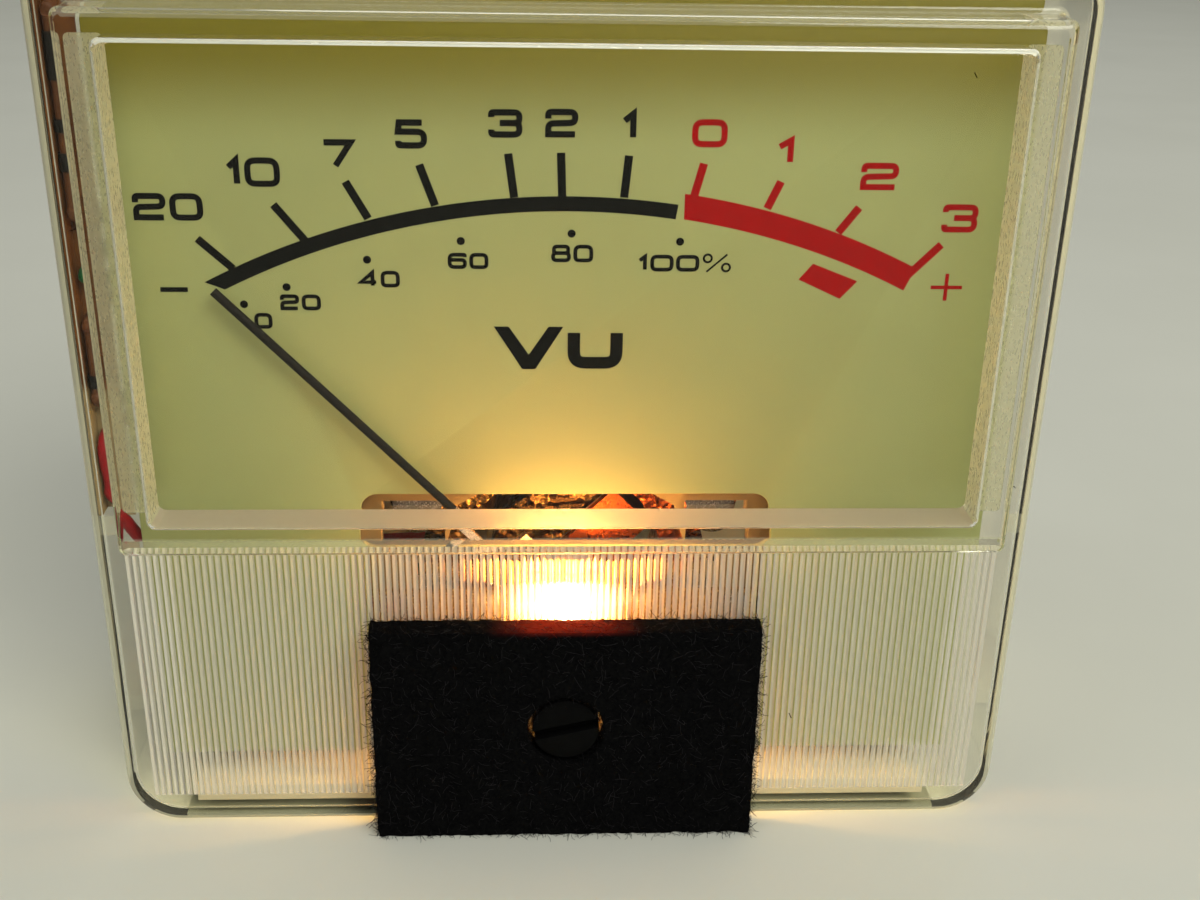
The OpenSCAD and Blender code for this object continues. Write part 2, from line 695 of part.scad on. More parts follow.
// Least gap between points of the strip that lie more than half a turn apart
spring_gap = min([for (i = [0 : 3 : spring_rings], j = [i + spring_steps / 2 : spring_rings])
    norm([spring_at(i)[0] - spring_at(j)[0], spring_at(i)[1] - spring_at(j)[1]])]) - spring_t;
echo(least_gap_hairspring = spring_gap);

module front_hairspring() color([0.85, 0.68, 0.3]) at_face()
    translate([0, collet_y0 + collet_t / 2, pivot_z]) hairspring();

module rear_hairspring() color([0.85, 0.68, 0.3]) at_face()
    translate([0, collet_y1 + collet_t / 2, pivot_z]) hairspring();

// ---- Pointer ----

// Outline of a bent strip of even thickness along a path drawn in y and z
function unit(v) = v / norm(v);
function left_of(v) = [-v[1], v[0]];
function heading(path, i) = unit(path[min(i + 1, len(path) - 1)] - path[min(i, len(path) - 2)]);
function mitre(path, i) = let (a = left_of(heading(path, max(i - 1, 0))), b = left_of(heading(path, i)))
    (a + b) / (1 + a * b);
function strip_outline(path, t) = concat([for (i = [0 : len(path) - 1]) path[i] + mitre(path, i) * t / 2],
    [for (i = [len(path) - 1 : -1 : 0]) path[i] - mitre(path, i) * t / 2]);

arm_path = [[arm_wire_y, arm_hub_r - 0.2], [arm_wire_y, crank_r0], [blade_y, crank_r1],
    [blade_y, pointer_black]];
module pointer_arm() color([0.82, 0.82, 0.84]) on_pointer() {
    difference() {
        rod_y(arm_hub_r, arm_hub_y, arm_hub_y + hub_t);
        rod_y(staff_r, arm_hub_y - over, arm_hub_y + hub_t + over);
    }
    translate([-arm_strip_w / 2, 0, 0]) rotate([90, 0, 90]) linear_extrude(arm_strip_w)
        polygon(strip_outline(arm_path, arm_strip_t));
    translate([0, blade_y, pointer_black - 0.1]) cylinder(r = wire_r, h = blade_tongue + 0.1);
    translate([0, arm_wire_y, -tail_len]) cylinder(r = wire_r, h = tail_len - arm_hub_r + 0.2);
}

module pointer_blade() color([0.02, 0.02, 0.02]) on_pointer() difference() {
    translate([0, blade_y, pointer_black]) cylinder(r = pointer_r, h = pointer_len - pointer_black);
    translate([0, blade_y, pointer_black - over]) cylinder(r = wire_r, h = over + blade_tongue);
}

module counterweight() color([0.7, 0.7, 0.72]) on_pointer() difference() {
    translate([0, arm_wire_y, -tail_len + 0.9]) cylinder(r = weight_r, h = weight_len);
    translate([0, arm_wire_y, -tail_len]) cylinder(r = wire_r, h = weight_len + 2);
}

// ---- Lamp ----

module along_lamp() at_face() translate([0, lamp_y, lamp_z]) rotate([0, 90, 0]) children();

lamp_glass_t = 0.3;
module lamp_glass() color([1, 0.95, 0.8, 0.4]) along_lamp() difference() {
    cylinder(r = lamp_r, h = lamp_len, center = true);
    cylinder(r = lamp_r - lamp_glass_t, h = lamp_len + over, center = true);
}

filament_r = 0.15;
filament_len = 5;
module lamp_filament() color([1, 0.8, 0.4]) along_lamp() {
    cylinder(r = filament_r, h = filament_len, center = true);
    for (s = [-1, 1]) translate([0, 0, s * (filament_len / 2 + lamp_len / 2) / 2])
        cylinder(r = filament_r / 2, h = (lamp_len - filament_len) / 2, center = true);
}

module lamp_caps() color([0.83, 0.7, 0.42]) along_lamp() for (s = [-1, 1])
    translate([0, 0, s * clip_x]) cylinder(r = lamp_cap_r, h = lamp_cap_len, center = true);

// Spring clips: a cut ring round each cap and a foot riveted to the frame plate
module cap_bar(r, extra) translate([0, lamp_y, lamp_z]) rotate([0, 90, 0])
    cylinder(r = r, h = clip_w + extra, center = true);

module lamp_clips() color([0.8, 0.64, 0.33]) at_face() for (s = [-1, 1]) {
    translate([s * clip_x, 0, 0]) difference() {
        cap_bar(lamp_cap_r + clip_t, 0);
        cap_bar(lamp_cap_r, over);
        translate([-clip_w, lamp_y - 2 * lamp_r, lamp_z - clip_open / 2])
            cube([2 * clip_w, 2 * lamp_r, clip_open]);
    }
    difference() {
        slab(frame_y - clip_t, frame_y)
            translate([s > 0 ? clip_x - clip_w / 2 : -clip_foot_end, clip_z - clip_foot_h / 2])
                square([clip_foot_end - clip_x + clip_w / 2, clip_foot_h]);
        translate([s * clip_x, 0, 0]) cap_bar(lamp_cap_r, over);
        translate([s * clip_rivet_x, 0, clip_z]) rod_y(rivet_r + fit, 0, frame_y + over);
    }
}

module clip_rivets() color([0.82, 0.82, 0.84]) at_face() pair(clip_rivet_x, clip_z) {
    rod_y(2 * rivet_r, frame_y - clip_t - rivet_head_t, frame_y - clip_t);
    rod_y(rivet_r, frame_y - clip_t - 0.1, frame_back + 0.1);
    rod_y(2 * rivet_r, frame_back, frame_back + rivet_head_t);
}

// ---- Rectifier ----

board_stand = 8;
board_y = floor_y - board_stand;
module rectifier_board() color([0.62, 0.38, 0.16]) at_face() difference() {
    slab(board_y, board_y + board_t) translate([0, board_z]) square([board_w, board_h], center = true);
    pair(board_post_x, board_z)
        rod_y(screw_s[0] + fit, board_y - over, board_y + board_t + over);
}

module board_screws() color([0.8, 0.8, 0.82]) at_face() pair(board_post_x, board_z)
    translate([0, board_y, 0]) screw(screw_s, screw_grip);

// A part with a round body and two leads that bend down into the board
component_air = 0.2;
module component(r, body_len, span) {
    y = board_y - r - component_air;
    translate([0, y, 0]) rotate([0, 90, 0]) cylinder(r = r, h = body_len, center = true);
    for (s = [-1, 1]) {
        wire([s * body_len / 2, y, 0], [s * span / 2, y, 0], wire_r);
        wire([s * span / 2, y, 0], [s * span / 2, board_y - wire_r, 0], wire_r);
    }
}

// Body radius, body length and lead span of the parts on the board
diode_size = [1, 3.8, 7];
resistor_size = [1.1, 6.3, 11];
diode_x = 5;
row_pitch = 3.6;
module diodes() color([0.08, 0.08, 0.08]) at_face() for (x = [-diode_x, diode_x], z = [-row_pitch, 0])
    translate([x, 0, board_z + z]) component(diode_size[0], diode_size[1], diode_size[2]);

module series_resistor() color([0.75, 0.6, 0.4]) at_face()
    translate([0, 0, board_z + row_pitch + 2 * component_air])
        component(resistor_size[0], resistor_size[1], resistor_size[2]);

// ---- Terminals ----

// Each stud steps down behind its nut to a thinner free end
module terminal_studs() color([0.84, 0.7, 0.4]) at_face() pair(stud_x, stud_z) {
    rod_y(stud_head_r, floor_y - stud_head_t, floor_y);
    rod_y(stud_r, floor_y, nut_back + stud_collar);
    rod_y(stud_r - stud_step, nut_back + stud_collar, stud_end);
}

module terminal_washers() color([0.8, 0.8, 0.82]) at_face() pair(stud_x, stud_z)
    difference() {
        rod_y(washer_r, case_back, case_back + washer_t);
        rod_y(stud_r + fit, case_back - over, case_back + over);
    }

module solder_lugs() color([0.85, 0.82, 0.72]) at_face() pair(stud_x, stud_z)
    difference() {
        slab(case_back + washer_t, case_back + washer_t + lug_t) union() {
            circle(r = stud_r + lug_rim);
            translate([-lug_w / 2, -lug_len]) square([lug_w, lug_len]);
        }
        rod_y(stud_r + fit, case_back, case_back + washer_t + lug_t + over);
        translate([0, 0, -lug_len + lug_w / 2])
            rod_y(lug_hole_r, case_back, case_back + washer_t + lug_t + over);
    }

module terminal_nuts() color([0.85, 0.72, 0.42]) at_face() pair(stud_x, stud_z)
    difference() {
        slab(nut_back - nut_t, nut_back) circle(d = nut_af / cos(30), $fn = 6);
        rod_y(stud_r + fit, case_back, nut_back + over);
    }

module lamp_terminals() color([0.85, 0.83, 0.75]) at_face() pair(lamp_pin_x, lamp_pin_z)
    translate([-lamp_pin[0] / 2, floor_y - lamp_pin_in, -lamp_pin[1] / 2])
        cube([lamp_pin[0], case_t + lamp_pin_in + lamp_pin_out, lamp_pin[1]]);

// ---- Leads ----

lead_sides = 8;
lead_steps = 5;
function spline(a, b, c, d, t) = ((2 * b) + (c - a) * t + (2 * a - 5 * b + 4 * c - d) * t * t
    + (3 * b - a - 3 * c + d) * t * t * t) / 2;
function smooth(p) = let (n = len(p)) concat([for (i = [0 : n - 2], k = [0 : lead_steps - 1])
    spline(p[max(i - 1, 0)], p[i], p[i + 1], p[min(i + 2, n - 1)], k / lead_steps)], [p[n - 1]]);
function tangents(q) = [for (i = [0 : len(q) - 1]) unit(q[min(i + 1, len(q) - 1)] - q[max(i - 1, 0)])];
function flat(n, t) = unit(n - (n * t) * t);
function normals(t, n0) = [for (i = 0, n = flat(n0, t[0]); i < len(t);
    i = i + 1, n = flat(n, t[min(i, len(t) - 1)])) n];

module lead(route, r) {
    q = smooth(route);
    t = tangents(q);
    n = normals(t, [0.3, 0.5, 0.8]);
    polyhedron(points = [for (i = [0 : len(q) - 1], k = [0 : lead_sides - 1])
            let (a = 360 * k / lead_sides, w = cross(t[i], n[i]))
                q[i] + r * (cos(a) * n[i] + sin(a) * w)],
        faces = tube_faces(len(q), lead_sides));
}

// The leads pass the left edge of the dial close to the clear side wall
lead_x = -flange_w / 2 + wall_t + lead_r + 0.2;
lead_y = face_t + lead_r + 0.3;
tap_y = floor_y - stud_head_t - lead_r - fit;
pin_y = floor_y - lamp_pin_in - lead_r - 2 * fit;
foot_y = frame_y - clip_t - lead_r - fit;
// Routes along the left wall are drawn for a box of this height and keep their share of it
drawn_h = 64;
function on_wall(x, y, z) = [lead_x + x, y, z * flange_h / drawn_h];
board_edge = -board_w / 2;
supply_routes = [
    [[board_edge + 1.4, board_y - 0.1, board_z + 4.6], [board_edge + 1.2, 16, board_z + 5.6],
        on_wall(10.7, 12.6, 59), on_wall(5.1, 12, 60.4), on_wall(0.9, 8, 60.6),
        on_wall(0, lead_y, 59.4), on_wall(0, lead_y, 58.6),
        on_wall(0, lead_y, 52), on_wall(0, lead_y, 47.4), on_wall(0, lead_y, 46.6), on_wall(0.7, 7, 45.8),
        on_wall(2.1, 14.5, 45.4), on_wall(9.1, 23, 40.4), [0, 23.6, stud_z + 4], [stud_x, tap_y, stud_z]],
    [[board_edge + 1.4, board_y - 0.1, board_z - 4.4], [board_edge, 16, board_z - 5.2],
        on_wall(2.5, 14, 40.6),
        on_wall(0.7, 7, 40.4), on_wall(0, lead_y, 39.4), on_wall(0, lead_y, 38.6), on_wall(0, lead_y, 34.6),
        on_wall(0, lead_y, 33.8), on_wall(0.7, 7, 32.8), on_wall(2.1, 14.5, 32.6), on_wall(9.1, 23, 33),
        [-stud_x, tap_y, stud_z]]];
coil_routes = [
    [[-bridge_out - 0.25, bridge_y0 + 2.6, pivot_z], [-bridge_out - 2.8, bridge_y0 + 2.8, pivot_z + 0.6],
        on_wall(9.1, 9, 30), on_wall(4.1, 8.8, 38), on_wall(1.3, 6.8, 41.6), on_wall(0, lead_y, 42.4),
        on_wall(0.9, 7, 43.8), on_wall(2.5, 14, 44), [board_edge - 2, 16.6, board_z - 2.6],
        [board_edge + 0.7, 16.8, board_z - 2.1], [board_edge + 1, board_y - 0.2, board_z - 2]],
    [[-5, bridge_y1 + bridge_t + lead_r, pivot_z], [-7, bridge_y1 + 2.4, pivot_z + 2.5], [-8.4, 25.4, 30],
        [-8.4, 25.2, board_z - 10], [-8.4, 22.4, board_z - 4.2],
        [-8.4, board_y + board_t + 0.2, board_z - 3]]];
red_route = [[-clip_foot_end + 0.9, foot_y, clip_z], [-clip_foot_end - 2.3, foot_y - 0.1, clip_z - 0.8],
    on_wall(7.1, 4.5, 17), on_wall(2.5, 4.5, 21), on_wall(0.6, 4.1, 23.6),
    on_wall(0, lead_y, 26.6), on_wall(0, lead_y, 27.6), on_wall(0, lead_y, 31), on_wall(0.7, 6.6, 31.4),
    on_wall(1.7, 12, 29.4), on_wall(2.7, 17, 24), [-20, 23, lamp_pin_z + 2],
    [-lamp_pin_x - 2.6, pin_y, lamp_pin_z + 1], [-lamp_pin_x - 0.6, pin_y, lamp_pin_z]];
black_route = [[clip_foot_end - 0.9, foot_y, clip_z], [clip_foot_end + 2.1, foot_y - 0.1, clip_z - 0.8],
    [lead_hole[0], frame_y + 0.7, lead_hole[1]], [lead_hole[0] - 0.4, 12, lead_hole[1] - 1.4],
    [lamp_pin_x + 7, 20, lamp_pin_z - 0.4], [lamp_pin_x + 2.4, pin_y - 0.4, lamp_pin_z],
    [lamp_pin_x + 0.6, pin_y, lamp_pin_z]];

module leads_brown() color([0.3, 0.14, 0.07]) at_face() for (route = supply_routes) lead(route, lead_r);
module leads_green() color([0.06, 0.3, 0.12]) at_face() for (route = coil_routes) lead(route, lead_r);
module lead_red() color([0.6, 0.05, 0.05]) at_face() lead(red_route, lead_r);
module lead_black() color([0.03, 0.03, 0.03]) at_face() lead(black_route, lead_r);

// Shrink sleeves round the brown leads where they run straight, as [lower end, length]
sleeve_t = 0.1;
sleeves = [[55, 3.2], [51.9, 0.9], [49.4, 1.3], [34.8, 1]];
module lead_sleeves() color([0.02, 0.02, 0.02]) at_face() for (s = sleeves)
    translate(on_wall(0, lead_y, s[0])) difference() {
        cylinder(r = lead_r + sleeve_t, h = s[1]);
        translate([0, 0, -over]) cylinder(r = lead_r + 0.02, h = s[1] + 2 * over);
    }

front_cover();
felt_pad();
zero_screw();
zero_screw_clip();
zero_arm();
dial_plate();
dial_pads();
frame_plate();
frame_screws();
rear_case();
magnet_yoke();
core_magnet();
core_screws();
front_bridge();
rear_bridge();
bridge_screws();
front_jewel_screw();
rear_jewel_screw();
stop_pins();
movement_screws();
coil_former();
coil_winding();
pivot_staffs();
front_hairspring();
rear_hairspring();
pointer_arm();
pointer_blade();
counterweight();
lamp_glass();
lamp_filament();
lamp_caps();
lamp_clips();
clip_rivets();
rectifier_board();
board_screws();
diodes();
series_resistor();
terminal_studs();
terminal_washers();
solder_lugs();
terminal_nuts();
lamp_terminals();
leads_brown();
leads_green();
lead_red();
lead_black();
lead_sleeves();
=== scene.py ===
"""Looks of an analog VU meter with a lit dial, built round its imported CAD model.

Metres, +Z up, the dial faces -Y. Meshes are drawn in millimetres in the part's own local frame,
where y = 0 is the front of the flange and +y runs into the meter, and are moved to the frame last.
"""

import json
import math
import random

import bmesh
import bpy
from mathutils import Matrix, Vector, noise


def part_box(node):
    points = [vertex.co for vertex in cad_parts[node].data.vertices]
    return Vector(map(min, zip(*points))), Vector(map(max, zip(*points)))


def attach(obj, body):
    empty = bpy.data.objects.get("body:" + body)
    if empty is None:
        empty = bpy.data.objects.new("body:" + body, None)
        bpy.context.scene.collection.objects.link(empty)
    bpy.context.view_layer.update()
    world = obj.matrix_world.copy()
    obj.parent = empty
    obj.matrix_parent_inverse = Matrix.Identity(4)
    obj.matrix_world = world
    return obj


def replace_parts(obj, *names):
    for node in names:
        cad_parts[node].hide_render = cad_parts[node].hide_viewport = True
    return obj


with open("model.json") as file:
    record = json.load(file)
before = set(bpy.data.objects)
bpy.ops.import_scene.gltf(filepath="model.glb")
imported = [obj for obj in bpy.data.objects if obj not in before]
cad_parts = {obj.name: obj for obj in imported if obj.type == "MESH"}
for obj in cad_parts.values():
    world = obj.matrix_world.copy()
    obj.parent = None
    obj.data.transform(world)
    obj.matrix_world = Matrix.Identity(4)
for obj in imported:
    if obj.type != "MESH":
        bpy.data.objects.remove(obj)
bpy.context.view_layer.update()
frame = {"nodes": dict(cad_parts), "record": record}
NODES = frame["nodes"]
BODIES = {node: body for body, nodes in frame["record"]["behaviour"]["bodies"].items() for node in nodes}

MM = 0.001
FLANGE_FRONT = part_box("felt_pad")[1].y  # the felt pad's back lies on the flange
TO_FRAME = Matrix.Translation((0, FLANGE_FRONT, 0)) @ Matrix.Scale(MM, 4)


def local_box(node):
    """Lowest and highest corner of a CAD node in local millimetres."""
    low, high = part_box(node)
    inverse = TO_FRAME.inverted()
    return inverse @ low, inverse @ high


# ---- Building blocks of the materials ----

NOISE_LOW, NOISE_HIGH = 0.3, 0.7  # most values of a noise lie between these
PLASTIC_IOR = 1.49


def rgba(colour):
    """Four channels from a grey, a colour or a colour with alpha."""
    if isinstance(colour, (int, float)):
        return (colour, colour, colour, 1)
    return (*colour, 1)[:4]


def shade(colour, factor):
    return tuple(c * factor for c in colour)


class Shader:
    """A node material in the making. Values that are sockets are linked, others are set."""

    def __init__(self, name):
        self.material = bpy.data.materials.new(name)
        self.material.use_nodes = True
        self.nodes = self.material.node_tree.nodes
        self.links = self.material.node_tree.links
        self.bsdf = self.nodes["Principled BSDF"]
        self.output = self.nodes["Material Output"]
        self.place = self.add("ShaderNodeTexCoord").outputs["Object"]

    def put(self, node, inputs):
        for key, value in inputs.items():
            socket = node.inputs[key]
            if isinstance(value, bpy.types.NodeSocket):
                self.links.new(value, socket)
            else:
                socket.default_value = value

    def add(self, kind, settings=None, inputs=None):
        node = self.nodes.new(kind)
        for key, value in (settings or {}).items():
            setattr(node, key, value)
        self.put(node, inputs or {})
        return node

    def stretched(self, scale):
        """Object coordinates in millimetres, stretched along each axis."""
        factors = [s / MM for s in scale]
        node = self.add("ShaderNodeMapping", None, {"Vector": self.place, "Scale": factors})
        return node.outputs["Vector"]

    def axis(self, letter):
        """The object coordinate along one axis, in millimetres."""
        node = self.add("ShaderNodeSeparateXYZ", None, {"Vector": self.stretched((1, 1, 1))})
        return node.outputs[letter]

    def noise(self, scale, detail):
        node = self.add("ShaderNodeTexNoise", None, {"Vector": self.stretched(scale), "Scale": 1,
                                                     "Detail": detail, "Roughness": 0.6})
        return node.outputs["Fac"]

    def calculated(self, operation, *values):
        return self.add("ShaderNodeMath", {"operation": operation}, dict(enumerate(values))).outputs["Value"]

    def fade(self, value, start, end, low=0.0, high=1.0):
        """Runs smoothly from low, where the value is start, to high, where it is end."""
        node = self.add("ShaderNodeMapRange", {"interpolation_type": "SMOOTHSTEP"}, {
            "Value": value, "From Min": start, "From Max": end, "To Min": low, "To Max": high})
        return node.outputs["Result"]

    def spread(self, fac, low, high):
        """Runs evenly from low to high over the range of a noise."""
        node = self.add("ShaderNodeMapRange", None, {
            "Value": fac, "From Min": NOISE_LOW, "From Max": NOISE_HIGH, "To Min": low, "To Max": high})
        return node.outputs["Result"]

    def ramp(self, fac, stops):
        """Maps a value through colour stops, as [(place, grey or colour)]."""
        node = self.add("ShaderNodeValToRGB", None, {"Fac": fac})
        elements = node.color_ramp.elements
        while len(elements) < len(stops):
            elements.new(0.5)
        for element, (where, colour) in zip(elements, stops):
            element.position = where
            element.color = rgba(colour)
        return node.outputs["Color"]

    def between(self, fac, first, second):
        """Colours from first to second over the range of a noise."""
        return self.ramp(fac, [(NOISE_LOW, first), (NOISE_HIGH, second)])

    def mix(self, fac, a, b):
        node = self.add("ShaderNodeMix", {"data_type": "RGBA"})
        self.put(node, {0: fac, 6: a if isinstance(a, bpy.types.NodeSocket) else rgba(a),
                        7: b if isinstance(b, bpy.types.NodeSocket) else rgba(b)})
        return node.outputs[2]

    def bump(self, height, strength, distance):
        """Relief of a height, with its distance in millimetres."""
        node = self.add("ShaderNodeBump", None, {"Height": height, "Strength": strength,
                                                 "Distance": distance * MM})
        return node.outputs["Normal"]

    def lets_light_in(self, tint):
        """Light from the lamps passes the surface as through a plain tint."""
        path = self.add("ShaderNodeLightPath")
        clear = self.add("ShaderNodeBsdfTransparent", None, {"Color": rgba(tint)})
        either = self.add("ShaderNodeMixShader", None, {
            0: path.outputs["Is Shadow Ray"], 1: self.bsdf.outputs[0], 2: clear.outputs[0]})
        self.put(self.output, {"Surface": either.outputs[0]})


# ---- Finishes ----


def surface(name, colour, rough, metal=0.0, drift=0.12, grain=(1.2, 1.2, 1.2), fine=(9, 9, 9),
            bump=0.15, depth=0.02, **fixed):
    """A finish with slow colour drift, uneven roughness and fine relief; fixed sets other sockets."""
    s = Shader(name)
    slow = s.noise(grain, 5)
    quick = s.noise(fine, 3)
    s.put(s.bsdf, {
        "Base Color": s.between(slow, shade(colour, 1 - drift), shade(colour, 1 + drift)),
        "Roughness": s.spread(quick, max(rough - 0.07, 0.02), rough + 0.07),
        "Metallic": metal,
        "Normal": s.bump(quick, bump, depth),
    })
    s.put(s.bsdf, {key.replace("_", " "): value for key, value in fixed.items()})
    return s.material


def see_through(name, colour, rough, shadow, gloss):
    """Clear plastic with a slow ripple and a few duller specks. Gloss is its share of the full reflection."""
    s = Shader(name)
    ripple = s.noise((0.35, 0.35, 0.35), 2)
    specks = s.noise((6, 6, 6), 3)
    s.put(s.bsdf, {
        "Base Color": s.between(ripple, colour, shade(colour, 0.99)),
        "Roughness": s.ramp(specks, [(0.62, rough), (0.8, rough + 0.12)]),
        "Transmission Weight": 1.0,
        "IOR": PLASTIC_IOR,
        "Specular Tint": rgba(gloss),
        "Normal": s.bump(ripple, 0.03, 0.05),
    })
    s.lets_light_in(shadow)
    return s.material


def clouded(name, colour, rough, milk, shadow, bump, fine=(3, 3, 3), ior=PLASTIC_IOR):
    """Clear plastic with an uneven skin, and with a share of milk that scatters the light."""
    s = Shader(name)
    scuffs = s.noise(fine, 5)
    s.put(s.bsdf, {
        "Base Color": s.between(scuffs, shade(colour, 0.94), colour),
        "Roughness": s.spread(scuffs, rough * 0.6, rough * 1.5),
        "Transmission Weight": 1 - milk,
        "IOR": ior,
        "Normal": s.bump(scuffs, bump, 0.02),
    })
    s.lets_light_in(shadow)
    return s.material


def dial_finish():
    """Olive cream paint, with painted shade that makes it browner and darker towards the dial's upper edge.
    """
    cream, brown = (0.370, 0.400, 0.165), (0.195, 0.170, 0.008)
    s = Shader("dial_paint")
    slow = s.noise((0.05, 0.05, 0.05), 4)
    quick = s.noise((5, 5, 5), 3)
    ground = s.between(slow, shade(cream, 0.94), shade(cream, 1.05))
    # Painted shade: above 50.5 mm the paint turns browner and darker, where the block's top wall shades the
    # dial
    s.put(s.bsdf, {
        "Base Color": s.mix(s.fade(s.axis("Z"), 50.5, 57.5), ground, brown),
        "Roughness": s.spread(quick, 0.38, 0.5),
        "Normal": s.bump(quick, 0.05, 0.02),
    })
    return s.material


def hammered_metal():
    """Dark plated iron with a hammered skin, gold, with painted red lamp light on its right flank."""
    s = Shader("hammered")
    slow = s.noise((0.9, 0.9, 0.9), 4)
    dents = s.add("ShaderNodeTexVoronoi", {"feature": "SMOOTH_F1"}, {
        "Vector": s.stretched((1.9, 1.9, 1.9)), "Scale": 1, "Smoothness": 0.6})
    gold = s.between(slow, (0.13, 0.065, 0.018), (0.42, 0.25, 0.075))
    red = s.between(slow, (0.30, 0.055, 0.012), (0.50, 0.12, 0.03))
    # Painted light: beyond x = 3.5 mm the gold turns red, as if lit by the lamp
    s.put(s.bsdf, {
        "Base Color": s.mix(s.fade(s.axis("X"), 3.5, 5.0), gold, red),
        "Metallic": 1.0,
        "Roughness": s.spread(slow, 0.16, 0.34),
        "Normal": s.bump(dents.outputs["Distance"], 1.0, 0.35),
    })
    return s.material


def card_finish():
    """Brown card, tan and paler below 35 mm. Its dark brown is painted shade for the unlit inside behind the
    leads.
    """
    s = Shader("shade_card")
    mottle = s.noise((0.8, 0.8, 0.3), 5)
    brown = s.between(mottle, (0.09, 0.030, 0.010), (0.19, 0.075, 0.022))
    s.put(s.bsdf, {
        "Base Color": s.mix(s.fade(s.axis("Z"), 34.4, 35.4), (0.33, 0.25, 0.14), brown),
        "Roughness": 0.8,
        "Specular IOR Level": 0.1,
    })
    return s.material


def felt_finish():
    """Black felt with painted dark red lamp light along its upper edge, where the lamp stands behind it."""
    s = Shader("felt_black")
    fuzz = s.noise((4, 4, 4), 3)
    black = s.between(fuzz, (0.0015, 0.0015, 0.002), (0.005, 0.005, 0.005))
    painted_glow_edge = s.fade(s.axis("Z"), 17.2, 17.9)
    near_lamp = s.fade(s.calculated("ABSOLUTE", s.axis("X")), 1.5, 6.0, 1.0, 0.0)
    # Painted light: dark red lamp glow on the felt's upper edge near the lamp
    s.put(s.bsdf, {
        "Base Color": s.mix(s.calculated("MULTIPLY", painted_glow_edge, near_lamp), black, (0.16, 0.012, 0.006)),
        "Roughness": 0.95,
        "Specular IOR Level": 0.05,
        "Normal": s.bump(fuzz, 0.3, 0.05),
    })
    return s.material


def lit_glass(name, half_length):
    """Lamp glass that the filament fills with light: white in the middle, orange at both ends."""
    s = Shader(name)
    outward = s.calculated("ABSOLUTE", s.calculated("DIVIDE", s.axis("X"), half_length))
    s.put(s.bsdf, {
        "Base Color": rgba((1, 0.95, 0.85)),
        "Roughness": 0.1,
        "IOR": 1.5,
        "Transmission Weight": 0.5,
        "Emission Color": s.ramp(outward, [(0.18, (1, 0.80, 0.42)), (0.48, (0.8, 0.36, 0.07)),
                                           (0.9, (0.22, 0.05, 0.005))]),
        "Emission Strength": 9.0,
    })
    s.lets_light_in((0.98, 0.96, 0.92))
    return s.material


def glowing(name, colour, strength):
    """A hot wire whose glow is a little uneven."""
    s = Shader(name)
    s.put(s.bsdf, {
        "Base Color": rgba(colour),
        "Roughness": 0.5,
        "Emission Color": s.between(s.noise((0.8, 0.8, 0.8), 2), colour, shade(colour, 0.85)),
        "Emission Strength": strength,
    })
    return s.material


# One for each region of the cover: clear window and flange, side walls, ribs, floor of the window pocket,
# its sides with the steps behind them, upper and lower edge of the block, a milky white line along the
# pocket's top that is a painted highlight, and rim of the flange
COVER_FINISHES = (
    see_through("cover_clear", (0.99, 0.985, 0.95), 0.02, (0.95, 0.94, 0.86), 0.22),
    clouded("cover_wall", (0.985, 0.975, 0.90), 0.04, 0.03, (0.93, 0.92, 0.84), 0.06, ior=1.2),
    clouded("cover_reeds", (0.99, 0.94, 0.84), 0.06, 0.48, (0.90, 0.88, 0.80), 0.08, (5, 5, 1.2)),
    clouded("cover_ledge", (0.66, 0.57, 0.47), 0.5, 0.5, (0.88, 0.84, 0.76), 0.06, (2, 2, 2)),
    clouded("cover_side", (0.72, 0.70, 0.49), 0.3, 0.46, (0.86, 0.84, 0.74), 0.03, (6, 6, 2)),
    clouded("cover_haze", (0.98, 0.95, 0.72), 0.05, 0.16, (0.93, 0.92, 0.84), 0.06),
    # Painted highlight: milky white on the pocket's top fillet, lit bright in place of a reflection
    clouded("cover_painted_glint", (0.95, 1.0, 0.96), 0.2, 0.55, (0.93, 0.93, 0.90), 0.3, (0.8, 4, 4)),
    clouded("cover_rim", (0.93, 0.90, 0.66), 0.15, 0.5, (0.93, 0.92, 0.84), 0.02, (0.7, 0.7, 0.7)),
)
CLEAR, WALL, REEDS, LEDGE, SIDE, HAZE, PAINTED_GLINT, RIM = range(len(COVER_FINISHES))

dial_paint = dial_finish()
print_black = surface("print_black", (0.004, 0.004, 0.0035), 0.7, drift=0.3, bump=0.05,
                      Specular_IOR_Level=0.03)
print_red = surface("print_red", (0.36, 0.003, 0.004), 0.65, drift=0.08, bump=0.05, Specular_IOR_Level=0.03)
pointer_black = surface("pointer_black", (0.012, 0.010, 0.008), 0.5, drift=0.2, Specular_IOR_Level=0.12)
frame_plastic = surface("frame_plastic", (0.27, 0.19, 0.085), 0.5, drift=0.06, Specular_IOR_Level=0.2)
case_plastic = surface("case_plastic", (0.74, 0.66, 0.46), 0.42, drift=0.03, grain=(0.3, 0.3, 0.3),
                       fine=(3, 3, 3))
black_plastic = surface("black_plastic", (0.008, 0.008, 0.008), 0.5, drift=0.25, Specular_IOR_Level=0.15)
screw_black = surface("screw_black", (0.003, 0.003, 0.003), 0.55, drift=0.25, Specular_IOR_Level=0.04)
steel = surface("steel", (0.62, 0.62, 0.64), 0.24, 1.0, fine=(14, 3, 14))
brass = surface("brass", (0.72, 0.50, 0.20), 0.25, 1.0, drift=0.15, fine=(12, 3, 12))
aluminium = surface("aluminium", (0.78, 0.78, 0.79), 0.28, 1.0, fine=(12, 3, 12))
copper = surface("copper", (0.30, 0.065, 0.016), 0.3, 1.0, drift=0.2, fine=(3, 26, 3), bump=0.6, depth=0.05)
bronze = surface("bronze", (0.70, 0.48, 0.18), 0.22, 1.0)
